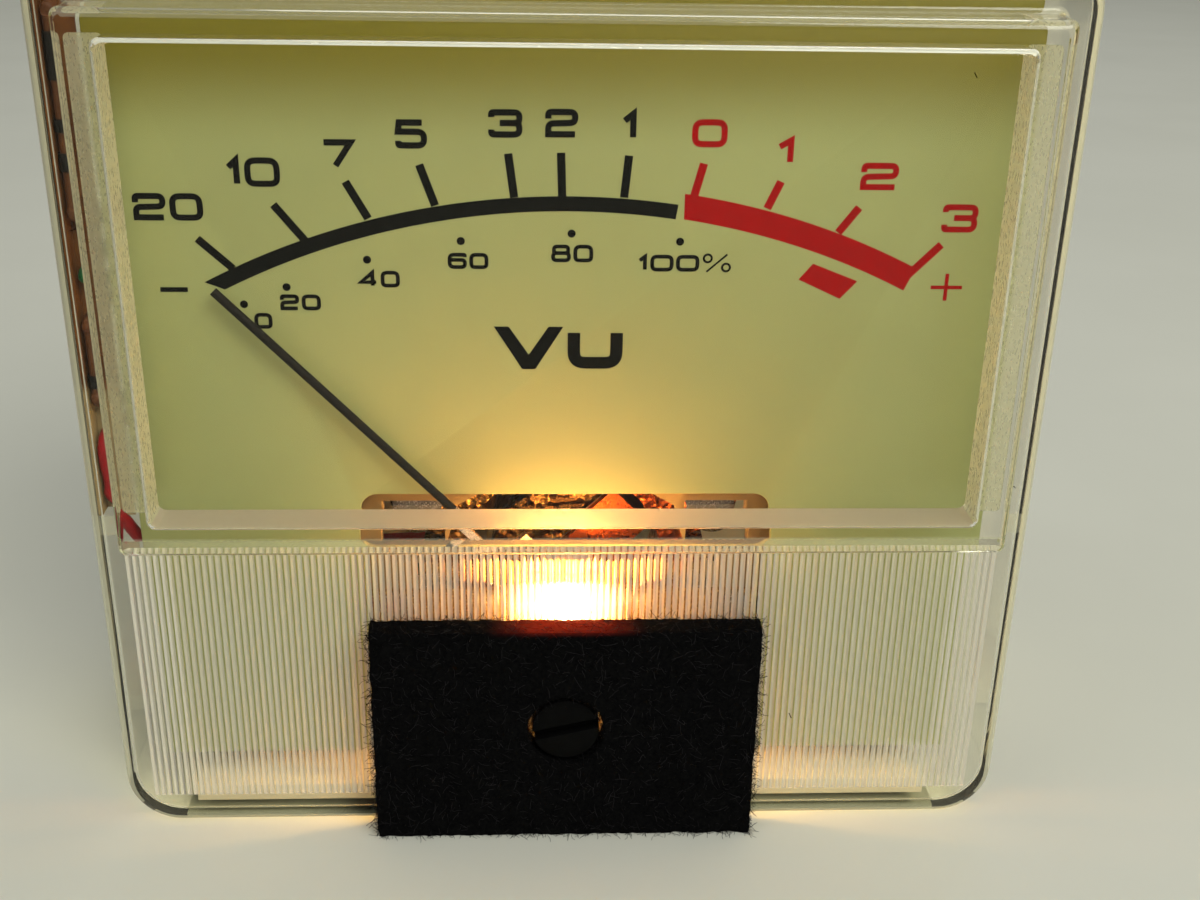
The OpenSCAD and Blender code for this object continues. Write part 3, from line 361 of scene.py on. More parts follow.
tinned = surface("tinned", (0.70, 0.68, 0.62), 0.33, 1.0, fine=(4, 4, 4))
hammered = hammered_metal()
felt_black = felt_finish()
lint_grey = surface("lint_grey", (0.020, 0.018, 0.020), 0.8, drift=0.5, fine=(6, 6, 6),
                    Specular_IOR_Level=0.1)
foam = surface("foam", (0.70, 0.70, 0.66), 0.8, drift=0.05, fine=(6, 6, 6), bump=0.6, depth=0.08)
board_brown = surface("board_brown", (0.24, 0.11, 0.04), 0.45, drift=0.15, grain=(0.6, 0.6, 2.5))
# A dark card that stands in for the shade behind the leads
shade_card = card_finish()
tan_lacquer = surface("tan_lacquer", (0.45, 0.30, 0.14), 0.3, drift=0.1)
lamp_lit = lit_glass("lamp_lit", 4.0)
hot_wire = glowing("hot_wire", (1.0, 0.62, 0.22), 900)
LEAD_COLOURS = {
    "leads_brown": (0.11, 0.040, 0.016), "leads_green": (0.01, 0.12, 0.04), "lead_red": (0.30, 0.006, 0.012),
    "lead_black": (0.008, 0.008, 0.008), "lead_sleeves": (0.008, 0.007, 0.007),
}
lead_finish = {node: surface(node, colour, 0.45, drift=0.15, Specular_IOR_Level=0.2)
               for node, colour in LEAD_COLOURS.items()}

# ---- Mesh helpers ----


def to_object(name, mesh, material, body="meter", smooth_deg=35):
    """Makes a piece of a mesh drawn in local millimetres."""
    mesh.transform(TO_FRAME)
    mesh.materials.clear()
    mesh.materials.append(material)
    mesh.shade_smooth()
    mesh.set_sharp_from_angle(angle=math.radians(smooth_deg))
    obj = bpy.data.objects.new(name, mesh)
    bpy.context.scene.collection.objects.link(obj)
    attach(obj, body)
    return obj


def mesh_of(name, verts, faces):
    mesh = bpy.data.meshes.new(name)
    mesh.from_pydata([tuple(v) for v in verts], [], faces)
    mesh.validate()
    return mesh


def edited(mesh, edit):
    """The mesh after edit has worked on it as a bmesh."""
    bm = bmesh.new()
    bm.from_mesh(mesh)
    edit(bm)
    bm.to_mesh(mesh)
    bm.free()
    return mesh


def outwards(bm):
    bmesh.ops.recalc_face_normals(bm, faces=bm.faces)


def rounded(width, height, radius, low, steps):
    """Corner points of a rectangle with round corners in x and z, centred in x, from z = low up."""
    points = []
    for k, (sx, sz) in enumerate(((1, 1), (-1, 1), (-1, -1), (1, -1))):
        centre = (sx * (width / 2 - radius), low + height / 2 + sz * (height / 2 - radius))
        for i in range(steps + 1):
            a = math.radians(90 * k + 90 * i / steps)
            points.append((centre[0] + radius * math.cos(a), centre[1] + radius * math.sin(a)))
    return points


def circle(steps):
    """Angles at even steps round a full turn."""
    return [2 * math.pi * i / steps for i in range(steps)]


def quarter(radius, steps):
    """(inset, rise) pairs round a quarter circle, from a flat face to the side."""
    return [(radius * (1 - math.sin(t)), radius * (1 - math.cos(t)))
            for t in (math.pi / 2 * i / steps for i in range(steps + 1))]


def tube_faces(rings, sides):
    """Faces of a closed tube through rings of points. They face outwards where each ring runs left-handed
    about the way from the first ring to the last."""
    last = (rings - 1) * sides
    faces = [tuple(range(sides)), tuple(reversed(range(last, last + sides)))]
    for a in range(0, last, sides):
        for i in range(sides):
            j = (i + 1) % sides
            faces.append((a + i, a + sides + i, a + sides + j, a + j))
    return faces


def solid(name, rings):
    """A closed solid through rings of equally many points."""
    verts = [point for ring in rings for point in ring]
    return edited(mesh_of(name, verts, tube_faces(len(rings), len(rings[0]))), outwards)


def loft(name, rings):
    """A solid through rings given as (points in x and z, y), from front to back."""
    return solid(name, [[(x, y, z) for x, z in points] for points, y in rings])


def column(name, rings):
    """A solid through rings given as (points in x and y, z), from one end to the other."""
    return solid(name, [[(x, y, z) for x, y in points] for points, z in rings])


def join(verts, faces, more_verts, more_faces):
    """Adds points and the faces between them to the lists of a mesh."""
    start = len(verts)
    verts += more_verts
    faces += [tuple(start + i for i in face) for face in more_faces]


def temporary(mesh):
    obj = bpy.data.objects.new(mesh.name, mesh)
    bpy.context.scene.collection.objects.link(obj)
    return obj


def applied(obj):
    """The object's mesh with its modifiers, and the object removed."""
    graph = bpy.context.evaluated_depsgraph_get()
    mesh = bpy.data.meshes.new_from_object(obj.evaluated_get(graph))
    bpy.data.objects.remove(obj)
    return mesh


def combined(base, others):
    """Mesh boolean of a base with (operation, mesh) pairs, one after the other."""
    obj = temporary(base)
    tools = []
    for operation, mesh in others:
        tool = temporary(mesh)
        tools.append(tool)
        step = obj.modifiers.new(operation, "BOOLEAN")
        step.operation, step.solver, step.object = operation, "EXACT", tool
    bpy.context.view_layer.update()
    result = applied(obj)
    for tool in tools:
        bpy.data.objects.remove(tool)
    return result


# ---- Camera, floor and light ----

CAMERA_AT = Vector((-2.1, -106.5, 69.1)) * MM
CAMERA_TURN = (math.radians(2.79), math.radians(23.24), math.radians(1.08))
LENS, SENSOR, CLIP = 42.33, 36, 0.001
METER_AT = (0, 0, 0.03)
SPOT_ANGLE = math.radians(130)


def aim(yaw, pitch, roll):
    """Rotation of a camera that looks along +Y, turned to the right, down and about its axis."""
    forward = Vector((math.sin(yaw) * math.cos(pitch), math.cos(yaw) * math.cos(pitch), -math.sin(pitch)))
    right = Vector((math.cos(yaw), -math.sin(yaw), 0))
    up = right.cross(forward)
    across = math.cos(roll) * right + math.sin(roll) * up
    over = -math.sin(roll) * right + math.cos(roll) * up
    return Matrix((across, over, -forward)).transposed().to_4x4()


def camera():
    data = bpy.data.cameras.new("camera")
    data.lens, data.sensor_width, data.clip_start = LENS, SENSOR, CLIP
    obj = bpy.data.objects.new("camera", data)
    obj.matrix_world = Matrix.Translation(CAMERA_AT) @ aim(*CAMERA_TURN)
    bpy.context.scene.collection.objects.link(obj)
    bpy.context.scene.camera = obj


def floor():
    """Plain pale paper, out to 3 m on each side."""
    s = Shader("floor_paper")
    cloudy = s.noise((0.02, 0.02, 0.02), 3)
    s.put(s.bsdf, {
        "Base Color": s.between(cloudy, (0.76, 0.76, 0.67), (0.79, 0.79, 0.70)),
        "Roughness": 0.85,
    })
    mesh = mesh_of("floor", [(-3, -3, 0), (3, -3, 0), (3, 3, 0), (-3, 3, 0)], [(0, 1, 2, 3)])
    mesh.materials.append(s.material)
    temporary(mesh)


def light(name, kind, place, watts, colour, target=None):
    """The data of a new light, which is turned to its target if it has one."""
    data = bpy.data.lights.new(name, kind)
    data.energy, data.color = watts, colour
    obj = bpy.data.objects.new(name, data)
    obj.location = place
    if target:
        obj.rotation_euler = (Vector(target) - Vector(place)).to_track_quat("-Z", "Y").to_euler()
    bpy.context.scene.collection.objects.link(obj)
    return data


def area_light(name, place, target, width, height, watts, colour):
    data = light(name, "AREA", place, watts, colour, target)
    data.shape = "RECTANGLE"
    data.size, data.size_y = width, height


def lamp_light(name, place, radius, watts, colour, target=None):
    """A light of the meter's own lamp, in local millimetres. With a target it is a wide soft spot."""
    there = TO_FRAME @ Vector(target) if target else None
    data = light(name, "SPOT" if target else "POINT", TO_FRAME @ Vector(place), watts, colour, there)
    data.shadow_soft_size = radius * MM
    if target:
        data.spot_size, data.spot_blend = SPOT_ANGLE, 1


def surroundings():
    """Even pale light from all round, and colours shown as they are."""
    world = bpy.data.worlds.new("studio")
    world.use_nodes = True
    inputs = world.node_tree.nodes["Background"].inputs
    inputs["Color"].default_value = (0.92, 0.94, 0.88, 1)
    inputs["Strength"].default_value = 0.28
    bpy.context.scene.world = world
    bpy.context.scene.view_settings.view_transform = "Standard"


camera()
floor()
area_light("key", (0.30, -0.42, 0.50), METER_AT, 0.35, 0.35, 2.0, (1.0, 0.99, 0.91))
area_light("fill", (-0.55, -0.30, 0.40), METER_AT, 0.5, 0.5, 0.2, (0.98, 0.99, 1.0))
area_light("back", (0.1, 0.5, 0.6), METER_AT, 0.5, 0.5, 0.7, (0.97, 0.98, 1.0))
area_light("over", (-0.10, -0.28, 0.62), (0, -0.02, 0.05), 0.9, 0.10, 0.5, (0.97, 1.0, 0.98))
surroundings()

# ---- Clear cover ----

# The box, its flange and the window block have the CAD's outlines. The box's side wall is thinner than
# there, since a thick one looks dark.
BOX_W, BOX_H, BOX_CORNER, BOX_EDGE, BOX_WALL = 66, 64, 4, 0.9, 0.5
PLATE = 1.6
BLOCK_W, BLOCK_LOW, BLOCK_HIGH, BLOCK_CORNER, BLOCK_EDGE = 60.4, 24.5, 60.0, 0.5, 0.7
BLOCK_WALL, BLOCK_FLOOR, BLOCK_FILLET = 1.8, 1.5, 0.5
POCKET_X = BLOCK_W / 2 - BLOCK_WALL
POCKET_LOW, POCKET_HIGH = BLOCK_LOW + BLOCK_FLOOR, BLOCK_HIGH - BLOCK_WALL
POCKET_CORNER, POCKET_FILLET = 0.6, 0.45
STEP, STEP_W, STEP_CORNER, STEP_INSET = 0.12, 2.3, 0.3, 0.9
SCREW_Z, SCREW_HOLE = 9.3, 1.65
RIM_W = 1.1
RIB_PITCH, RIB_DEPTH, RIB_SIDE, RIB_BASE = 0.475, 0.15, 2.1, 2.6
# How far the block's foot and the ribs' tool stand off the flange's face, so that no faces coincide
FOOT_OFF, TOOL_OFF = 0.01, 0.012


def reeds():
    """The tool that cuts the fine upright reeds into the lower panel, each a little uneven."""
    spread = random.Random(4)
    count = int((BOX_W - 2 * RIB_SIDE) / RIB_PITCH)
    steps = 8
    profile = []
    for i in range(count):
        depth = RIB_DEPTH * spread.uniform(0.75, 1.2)
        for k in range(steps):
            x = (i - count / 2 + k / steps) * RIB_PITCH
            profile.append((x, 0.5 * depth * (1 - math.cos(2 * math.pi * k / steps)) - TOOL_OFF))
    last = count / 2 * RIB_PITCH
    profile += [(last, -TOOL_OFF), (last, -1.5), (-last, -1.5)]
    return column("reeds", [(profile, RIB_BASE), (profile, BLOCK_LOW + 0.2)])


def step(side):
    """A low step on the back of the plate, behind the block's left (-1) or right (1) side."""
    shape = rounded(STEP_W, POCKET_HIGH - POCKET_LOW - 0.4, STEP_CORNER, POCKET_LOW + 0.4, 3)
    bar = [(x + side * (BLOCK_W / 2 - STEP_INSET), z) for x, z in shape]
    return loft("cover_step", [(bar, PLATE - 0.3), (bar, PLATE + STEP)])


def box_outline(margin):
    return rounded(BOX_W - 2 * margin, BOX_H - 2 * margin, max(BOX_CORNER - margin, 0.2), margin, 10)


def block_outline(outset):
    return rounded(BLOCK_W + 2 * outset, BLOCK_HIGH - BLOCK_LOW + 2 * outset, BLOCK_CORNER + max(outset, 0),
                   BLOCK_LOW - outset, 5)


def pocket_outline(margin):
    return rounded(2 * (POCKET_X - margin), POCKET_HIGH - POCKET_LOW - 2 * margin, POCKET_CORNER,
                   POCKET_LOW + margin, 4)


def cover_body(depth):
    """The box's outside, with a rounded front edge."""
    return loft("cover_body", [(box_outline(i), y) for i, y in quarter(BOX_EDGE, 6)] +
                [(box_outline(0), depth - 0.15), (box_outline(0.15), depth)])


def cover_hollow(depth):
    """The room inside the box, open to the back."""
    return loft("cover_hollow", [(box_outline(BOX_WALL + i), PLATE + y) for i, y in quarter(0.4, 3)] +
                [(box_outline(BOX_WALL), depth + 1)])


def cover_block(front):
    """The window block, with a hollow fillet at its foot."""
    foot = [(block_outline(BLOCK_FILLET), 0.4), (block_outline(BLOCK_FILLET), -FOOT_OFF)]
    foot += [(block_outline(BLOCK_FILLET - BLOCK_FILLET * math.sin(t)),
              -BLOCK_FILLET + BLOCK_FILLET * math.cos(t) - FOOT_OFF)
             for t in (math.pi / 2 * i / 5 for i in range(1, 6))]
    top = [(block_outline(-i), front + y) for i, y in reversed(quarter(BLOCK_EDGE, 6))]
    return loft("cover_block", list(reversed(foot + top)))


def cover_pocket(front):
    """The room inside the block, from behind its window into the room inside the box."""
    deep_end = [(pocket_outline(i), front + BLOCK_WALL + y) for i, y in quarter(POCKET_FILLET, 4)]
    return loft("cover_pocket", deep_end + [(pocket_outline(0), PLATE + 0.6)])


def cover_hole():
    """The round hole that the zero adjuster turns in."""
    rim = [(SCREW_HOLE * math.cos(a), SCREW_Z + SCREW_HOLE * math.sin(a)) for a in circle(32)]
    return loft("cover_hole", [(rim, -1), (rim, 3)])


def split(mesh, cuts):
    """Cuts faces along (axis, place) planes, so that each face lies in one region of the cover."""
    def cut(bm):
        for axis, where in cuts:
            normal = Vector((axis == "x", axis == "y", axis == "z"))
            bmesh.ops.bisect_plane(bm, geom=bm.verts[:] + bm.edges[:] + bm.faces[:],
                                   plane_co=normal * where, plane_no=normal)

    return edited(mesh, cut)


def cover_part(at, normal):
    """The finish of a cover face, from its middle in local millimetres and its normal."""
    if normal.z > 0.7 and abs(at.z - POCKET_LOW) < 0.5:
        return LEDGE
    if abs(at.y - PLATE - STEP) < 0.02:
        return SIDE
    if at.z < BLOCK_LOW and 0 <= at.y < 0.5 and abs(at.x) < BOX_W / 2 - RIB_SIDE and at.z > RIB_BASE - 0.1:
        return REEDS
    if abs(normal.x) > 0.5 and abs(abs(at.x) - POCKET_X) < 0.4 and at.z > POCKET_LOW:
        return SIDE
    on_edge = abs(at.x) > BOX_W / 2 - RIM_W or not RIM_W < at.z < BOX_H - RIM_W
    if at.y < 1 and -0.97 < normal.y < -0.1 and on_edge:
        return RIM
    # The pocket's top fillet gets the milky white finish of a painted highlight
    if normal.z < -0.25 and normal.y > 0.2 and at.y < 0 and POCKET_HIGH - 0.7 < at.z < POCKET_HIGH + 0.1:
        return PAINTED_GLINT
    low_band = normal.y < -0.9 and BLOCK_LOW < at.z < POCKET_LOW
    if low_band or (at.y < 0 and normal.z > 0.3 and at.z > BLOCK_HIGH - 1):
        return HAZE
    return CLEAR if abs(normal.y) > 0.9 else WALL


def cover():
    """The clear cover as one mesh, each face with the finish of its region."""
    low, high = local_box("front_cover")
    mesh = combined(cover_body(high.y), [
        ("UNION", cover_block(low.y)), ("DIFFERENCE", cover_hollow(high.y)),
        ("UNION", step(-1)), ("UNION", step(1)),
        ("DIFFERENCE", cover_pocket(low.y)), ("DIFFERENCE", reeds()), ("DIFFERENCE", cover_hole())])
    split(mesh, [("z", BLOCK_LOW), ("z", POCKET_LOW), ("x", -BLOCK_W / 2), ("x", BLOCK_W / 2)])
    piece = to_object("cover", mesh, COVER_FINISHES[0], smooth_deg=34)
    for finish in COVER_FINISHES[1:]:
        piece.data.materials.append(finish)
    for face in piece.data.polygons:
        face.material_index = cover_part(TO_FRAME.inverted() @ face.center, face.normal)
    even = piece.modifiers.new("even_normals", "WEIGHTED_NORMAL")
    even.keep_sharp, even.weight = True, 80
    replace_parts(piece, "front_cover")


cover()

# ---- Pieces made of their CAD nodes ----

WELD = 0.001


def flat_faces(bm):
    """Joins the triangles of each flat face."""
    bmesh.ops.dissolve_limit(bm, angle_limit=math.radians(1), verts=bm.verts, edges=bm.edges)


def even_quads(bm):
    """Joins triangles in pairs."""
    bmesh.ops.join_triangles(bm, faces=bm.faces, angle_face_threshold=math.radians(60),
                             angle_shape_threshold=math.radians(60))


def local_copy(node, simplify=flat_faces):
    """A CAD node's mesh in local millimetres, with its points welded and its triangles joined."""
    def weld(bm):
        bmesh.ops.remove_doubles(bm, verts=bm.verts, dist=WELD)
        simplify(bm)

    mesh = NODES[node].data.copy()
    mesh.transform(TO_FRAME.inverted())
    return edited(mesh, weld)


def softened(node, finish, width, segments=2):
    """A CAD node's own shape with its sharp edges rounded over."""
    obj = temporary(local_copy(node))
    round_over = obj.modifiers.new("round_over", "BEVEL")
    round_over.width, round_over.segments, round_over.limit_method = width, segments, "ANGLE"
    round_over.angle_limit = math.radians(35)
    round_over.harden_normals = False
    piece = to_object(node + "_soft", applied(obj), finish, BODIES[node], 40)
    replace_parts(piece, node)


def remeshed(node, voxel, lift):
    """A CAD node's shape in even small faces, each point lifted along its normal by lift(place)."""
    obj = temporary(local_copy(node))
    remesh = obj.modifiers.new("remesh", "REMESH")
    remesh.mode, remesh.voxel_size = "VOXEL", voxel
    mesh = applied(obj)
    for vertex, normal in zip(mesh.vertices, [v.normal.copy() for v in mesh.vertices]):
        vertex.co += normal * lift(vertex.co)
    return mesh


softened("zero_screw", screw_black, 0.12, 3)
softened("dial_plate", dial_paint, 0.06)
softened("frame_plate", frame_plastic, 0.12)
softened("rear_case", case_plastic, 0.3, 3)
softened("terminal_nuts", brass, 0.15)
softened("terminal_washers", steel, 0.08)
softened("solder_lugs", tinned, 0.05)
softened("lamp_terminals", tinned, 0.08)
softened("rectifier_board", board_brown, 0.06)

# ---- Felt, lint and foam ----

FELT_VOXEL, FOAM_VOXEL = 0.28, 0.15
FELT_FIBRES, FELT_FIBRE_R = 6500, 0.018
LINT_FIBRES, LINT_FIBRE_R = 2200, 0.014
FIBRE_LENGTHS, FIBRE_BEND, FIBRE_ROOT = (0.4, 1.1), 0.45, 0.02


def fibre(start, direction, length, radius, bend, rng, steps=3, sides=3):
    """A bent hair as a thin closed tube: its points and faces."""
    path = [start]
    heading = direction.normalized()
    for _ in range(steps):
        heading = (heading + bend * Vector([rng.uniform(-1, 1) for _ in range(3)])).normalized()
        path.append(path[-1] + heading * length / steps)
    side = heading.orthogonal().normalized()
    other = side.cross(heading)
    verts = [p + radius * (math.cos(a) * side + math.sin(a) * other) for p in path for a in circle(sides)]
    return verts, tube_faces(len(path), sides)


def coat(spots, count, radius, rng, verts, faces):
    """Adds short bent fibres to a mesh's lists, at a random choice of (place, normal) spots."""
    for centre, normal in rng.sample(spots, min(len(spots), count)):
        along = normal.orthogonal().normalized()
        across = normal.cross(along)
        turn = rng.uniform(0, 2 * math.pi)
        direction = normal * rng.uniform(0.05, 0.6) + along * math.cos(turn) + across * math.sin(turn)
        points, tube = fibre(centre - normal * FIBRE_ROOT, direction, rng.uniform(*FIBRE_LENGTHS), radius,
                             FIBRE_BEND, rng)
        above_ground = [Vector((q.x, q.y, max(q.z, radius))) for q in points]
        join(verts, faces, above_ground, tube)
    return verts, faces


def felt():
    """The felt pad: a lumpy body with fibres all over its front and edges, and a thin coat of grey lint."""
    def lumps(at):
        return 0.10 * noise.noise(at * 0.8) + 0.09 * noise.noise(at * 2.6) - 0.05

    rng = random.Random(11)
    mesh = remeshed("felt_pad", FELT_VOXEL, lumps)
    verts, faces = [v.co.copy() for v in mesh.vertices], [tuple(f.vertices) for f in mesh.polygons]
    outside = [(f.center.copy(), f.normal.copy()) for f in mesh.polygons if f.normal.y < 0.5]
    furry = coat(outside, FELT_FIBRES, FELT_FIBRE_R, rng, verts, faces)
    piece = to_object("felt", mesh_of("felt", *furry), felt_black, smooth_deg=60)
    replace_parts(piece, "felt_pad")
    lint = coat(outside, LINT_FIBRES, LINT_FIBRE_R, rng, [], [])
    to_object("lint", mesh_of("lint", *lint), lint_grey, smooth_deg=60)


def pads():
    """The foam pads behind the dial, with a slightly uneven skin."""
    mesh = remeshed("dial_pads", FOAM_VOXEL, lambda at: 0.04 * noise.noise(at * 3) - 0.03)
    piece = to_object("pads", mesh, foam, smooth_deg=60)
    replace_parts(piece, "dial_pads")


felt()
pads()

# ---- Leads, and the dark card strip behind them that stands in for shade ----

LEAN, LEAN_FROM_X, LEAN_FROM_Z = 0.62, -29, 25


def leads(node):
    """A CAD lead with smooth skin. Where it runs up the clear side wall, it leans closer to the wall."""
    obj = temporary(local_copy(node, even_quads))
    finer = obj.modifiers.new("finer", "SUBSURF")
    finer.levels = finer.render_levels = 1
    mesh = applied(obj)
    for vertex in mesh.vertices:
        x, _, z = vertex.co
        near = max(0.0, min(1.0, (LEAN_FROM_X - x) / 1.5)) * max(0.0, min(1.0, (z - LEAN_FROM_Z) / 2))
        vertex.co.x = x - LEAN * near * near * (3 - 2 * near)
    piece = to_object(node + "_run", mesh, lead_finish[node], BODIES[node], 60)
    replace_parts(piece, node)


def shade_liner():
    """The brown card strip behind the leads, an L in section, seen through the flange's left edge. It is
    painted shade: a dark sheet where the inside of the meter lies unlit.
    """
    left, right = -BOX_W / 2 + 0.52, -BOX_W / 2 + 2.9
    front, back = 1.75, 3.3
    low, length, card, steps = 25.5, 36.1, 0.14, 12
    rings = []
    for i in range(steps + 1):
        z = low + length * i / steps
        bow = 0.05 * math.sin(z * 0.9)
        rings.append(([(left, front), (left, back + bow), (right, back - bow), (right, back - card - bow),
                       (left + card, back - card + bow), (left + card, front)], z))
    to_object("shade_liner", column("shade_liner", rings), shade_card)


for run in lead_finish:
    leads(run)
shade_liner()

# ---- Terminal studs ----

THREAD_PITCH, THREAD_DEPTH = 0.5, 0.22
STUD_R, FREE_R, FREE_LENGTH, HEAD_LENGTH = 1.5, 1.25, 6.2, 1.5


def threaded(stretches, x, z, sides=28):
    """Points and faces of a stepped stud along y, given (radius, first y, last y, threaded) stretches."""
    rows = []
    for radius, y0, y1, cut in stretches:
        count = max(1, round((y1 - y0) / THREAD_PITCH * 6)) if cut else 1
        for i in range(count + 1):
            rows.append((radius, y0 + (y1 - y0) * i / count, cut and 0 < i < count))
    verts = []
    for radius, y, cut in rows:
        for k, a in enumerate(circle(sides)):
            phase = (y / THREAD_PITCH - k / sides) % 1
            r = radius - (THREAD_DEPTH * abs(2 * phase - 1) if cut else 0)
            verts.append((x + r * math.cos(a), y, z + r * math.sin(a)))
    return verts, tube_faces(len(rows), sides)


def studs():
    """Both terminal studs with rolled threads, and with chamfers at the head and at the free end."""
    low, high = local_box("terminal_studs")
    head_r = (high.z - low.z) / 2
    x, z = high.x - head_r, (high.z + low.z) / 2
    head_end, free = low.y + HEAD_LENGTH, high.y - FREE_LENGTH
    stretches = [(head_r - 0.4, low.y, low.y + 0.01, False), (head_r, low.y + 0.4, head_end, False),
                 (STUD_R, head_end, free, True), (FREE_R, free, high.y - 0.3, True),
                 (FREE_R - 0.3, high.y - 0.01, high.y, False)]
    verts, faces = [], []
    for side in (-1, 1):
        join(verts, faces, *threaded(stretches, side * x, z))
    mesh = edited(mesh_of("studs", verts, faces), outwards)
    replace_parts(to_object("studs", mesh, brass, smooth_deg=30), "terminal_studs")


studs()

# ---- Dust ----

DUST_R, DUST_BEND, DUST_GAP = 0.035, 0.35, 0.02
DUST = [(-31.2, 48.2, 0.7), (-31.0, 46.6, 0.9), (-30.9, 44.9, 0.4), (-12.0, 24.2, 0.8), (17.0, 9.0, 0.5),
        (31.5, 28.0, 0.3), (-30.6, 33.0, 0.3), (24.0, 57.0, 0.4)]


def dust():
    """A few dark hairs and specks that stick to the cover's face, each at (x, z, length)."""
    rng = random.Random(5)
    verts, faces = [], []
    block_front = local_box("front_cover")[0].y
    for x, z, length in DUST:
        on_block = BLOCK_LOW < z < BLOCK_HIGH and abs(x) < BLOCK_W / 2
        y = (block_front if on_block else 0) - DUST_GAP
        direction = Vector((rng.uniform(-1, 1), 0, rng.uniform(-1, 1)))
        points, tube = fibre(Vector((x, y, z)), direction, length, DUST_R, DUST_BEND, rng, 5, 4)
        in_front = [Vector((q.x, min(q.y, y + DUST_GAP), q.z)) for q in points]
        join(verts, faces, in_front, tube)
    to_object("dust", mesh_of("dust", verts, faces), felt_black, smooth_deg=60)


dust()

# ---- Finishes of the CAD nodes ----

FINISHES = {
    "felt_pad": black_plastic, "zero_screw": screw_black, "zero_screw_clip": steel, "zero_arm": brass,
    "dial_plate": dial_paint, "dial_pads": foam, "frame_plate": frame_plastic, "frame_screws": steel,
    "rear_case": case_plastic, "magnet_yoke": hammered, "core_magnet": hammered, "core_screws": brass,
    "front_bridge": brass, "rear_bridge": brass, "bridge_screws": steel, "front_jewel_screw": brass,
    "rear_jewel_screw": brass, "stop_pins": steel, "movement_screws": steel, "coil_former": aluminium,
    "coil_winding": copper, "pivot_staffs": steel, "front_hairspring": bronze, "rear_hairspring": bronze,
    "pointer_arm": aluminium, "pointer_blade": pointer_black, "counterweight": steel, "lamp_glass": lamp_lit,
    "lamp_filament": hot_wire, "lamp_caps": brass, "lamp_clips": brass, "clip_rivets": steel,
    "rectifier_board": board_brown, "board_screws": steel, "diodes": black_plastic,
    "series_resistor": tan_lacquer, "terminal_studs": brass, "terminal_washers": steel, "solder_lugs": tinned,
    "terminal_nuts": brass, "lamp_terminals": tinned, **lead_finish,
}
for node, finish in FINISHES.items():
    mesh = NODES[node].data
    mesh.materials.clear()
    mesh.materials.append(finish)
    mesh.shade_smooth()
    mesh.set_sharp_from_angle(angle=math.radians(32))

# ---- Printed scale ----

INK_GAP, LAYER, LAYERS = 0.012, 0.0008, 23
BEND_STEPS = 6


def bent(points, radius):
    """A path whose inner corners are rounded. A point may carry its own radius as a third value."""
    path = [Vector(points[0][:2])]
    for before, here, after in zip(points, points[1:], points[2:]):
        p, a, b = Vector(here[:2]), Vector(before[:2]), Vector(after[:2])
        u, v = (a - p), (b - p)
        want = here[2] if len(here) > 2 else radius
        reach = min(want / math.tan(u.angle(v) / 2), 0.499 * u.length, 0.499 * v.length) if want else 0
        if reach < 1e-4:
            path.append(p)
            continue
        start, end = p + u.normalized() * reach, p + v.normalized() * reach
        for i in range(BEND_STEPS + 1):
            t = i / BEND_STEPS
            path.append((1 - t) ** 2 * start + 2 * t * (1 - t) * p + t * t * end)
    path.append(Vector(points[-1][:2]))
    return path


def strip_faces(count):
    """Quads of a strip whose points come in pairs."""
    return [(2 * i, 2 * i + 1, 2 * i + 3, 2 * i + 2) for i in range(count)]


def ribbon(path, width):
    """Quads of even width along a path, mitred at its corners."""
    verts = []
    for i, p in enumerate(path):
        a = (p - path[i - 1]).normalized() if i else (path[1] - p).normalized()
        b = (path[i + 1] - p).normalized() if i < len(path) - 1 else a
        n, m = Vector((-a.y, a.x)), Vector((-b.y, b.x))
        side = (n + m) / max(1 + n.dot(m), 0.3) * width / 2
        verts += [p + side, p - side]
    return verts, strip_faces(len(path) - 1)


# Strokes of each character in a unit square
GLYPHS = {
    "0": [[(0.5, 0), (1, 0), (1, 1), (0, 1), (0, 0), (0.5, 0)]],
    "1": [[(0.05, 0.7), (0.85, 1, 0), (0.85, 0)]],
    "2": [[(0, 0.7), (0, 1), (1, 1), (1, 0.52), (0, 0.48), (0, 0, 0), (1, 0)]],
    "3": [[(0, 0.78), (0, 1), (1, 1), (1, 0.52), (0.3, 0.52)],
          [(0.3, 0.52), (1, 0.52), (1, 0), (0, 0), (0, 0.22)]],
    "4": [[(0.76, 0), (0.76, 1, 0), (0, 0.27, 0), (1, 0.27)]],
    "5": [[(0.93, 1), (0.05, 1, 0), (0, 0.6, 0), (1, 0.6), (1, 0), (0, 0), (0, 0.2)]],
    "6": [[(1, 0.8), (1, 1), (0, 1), (0, 0), (1, 0), (1, 0.58), (0, 0.58)]],
    "7": [[(0, 1), (1, 1, 0), (0.4, 0)]],
    "8": [[(0.5, 0.52), (0.95, 0.52), (0.95, 1), (0.05, 1), (0.05, 0.52), (0.5, 0.52)],
          [(0.5, 0.52), (1, 0.52), (1, 0), (0, 0), (0, 0.52), (0.5, 0.52)]],
    "U": [[(0, 1), (0, 0), (1, 0), (1, 1)]],
}


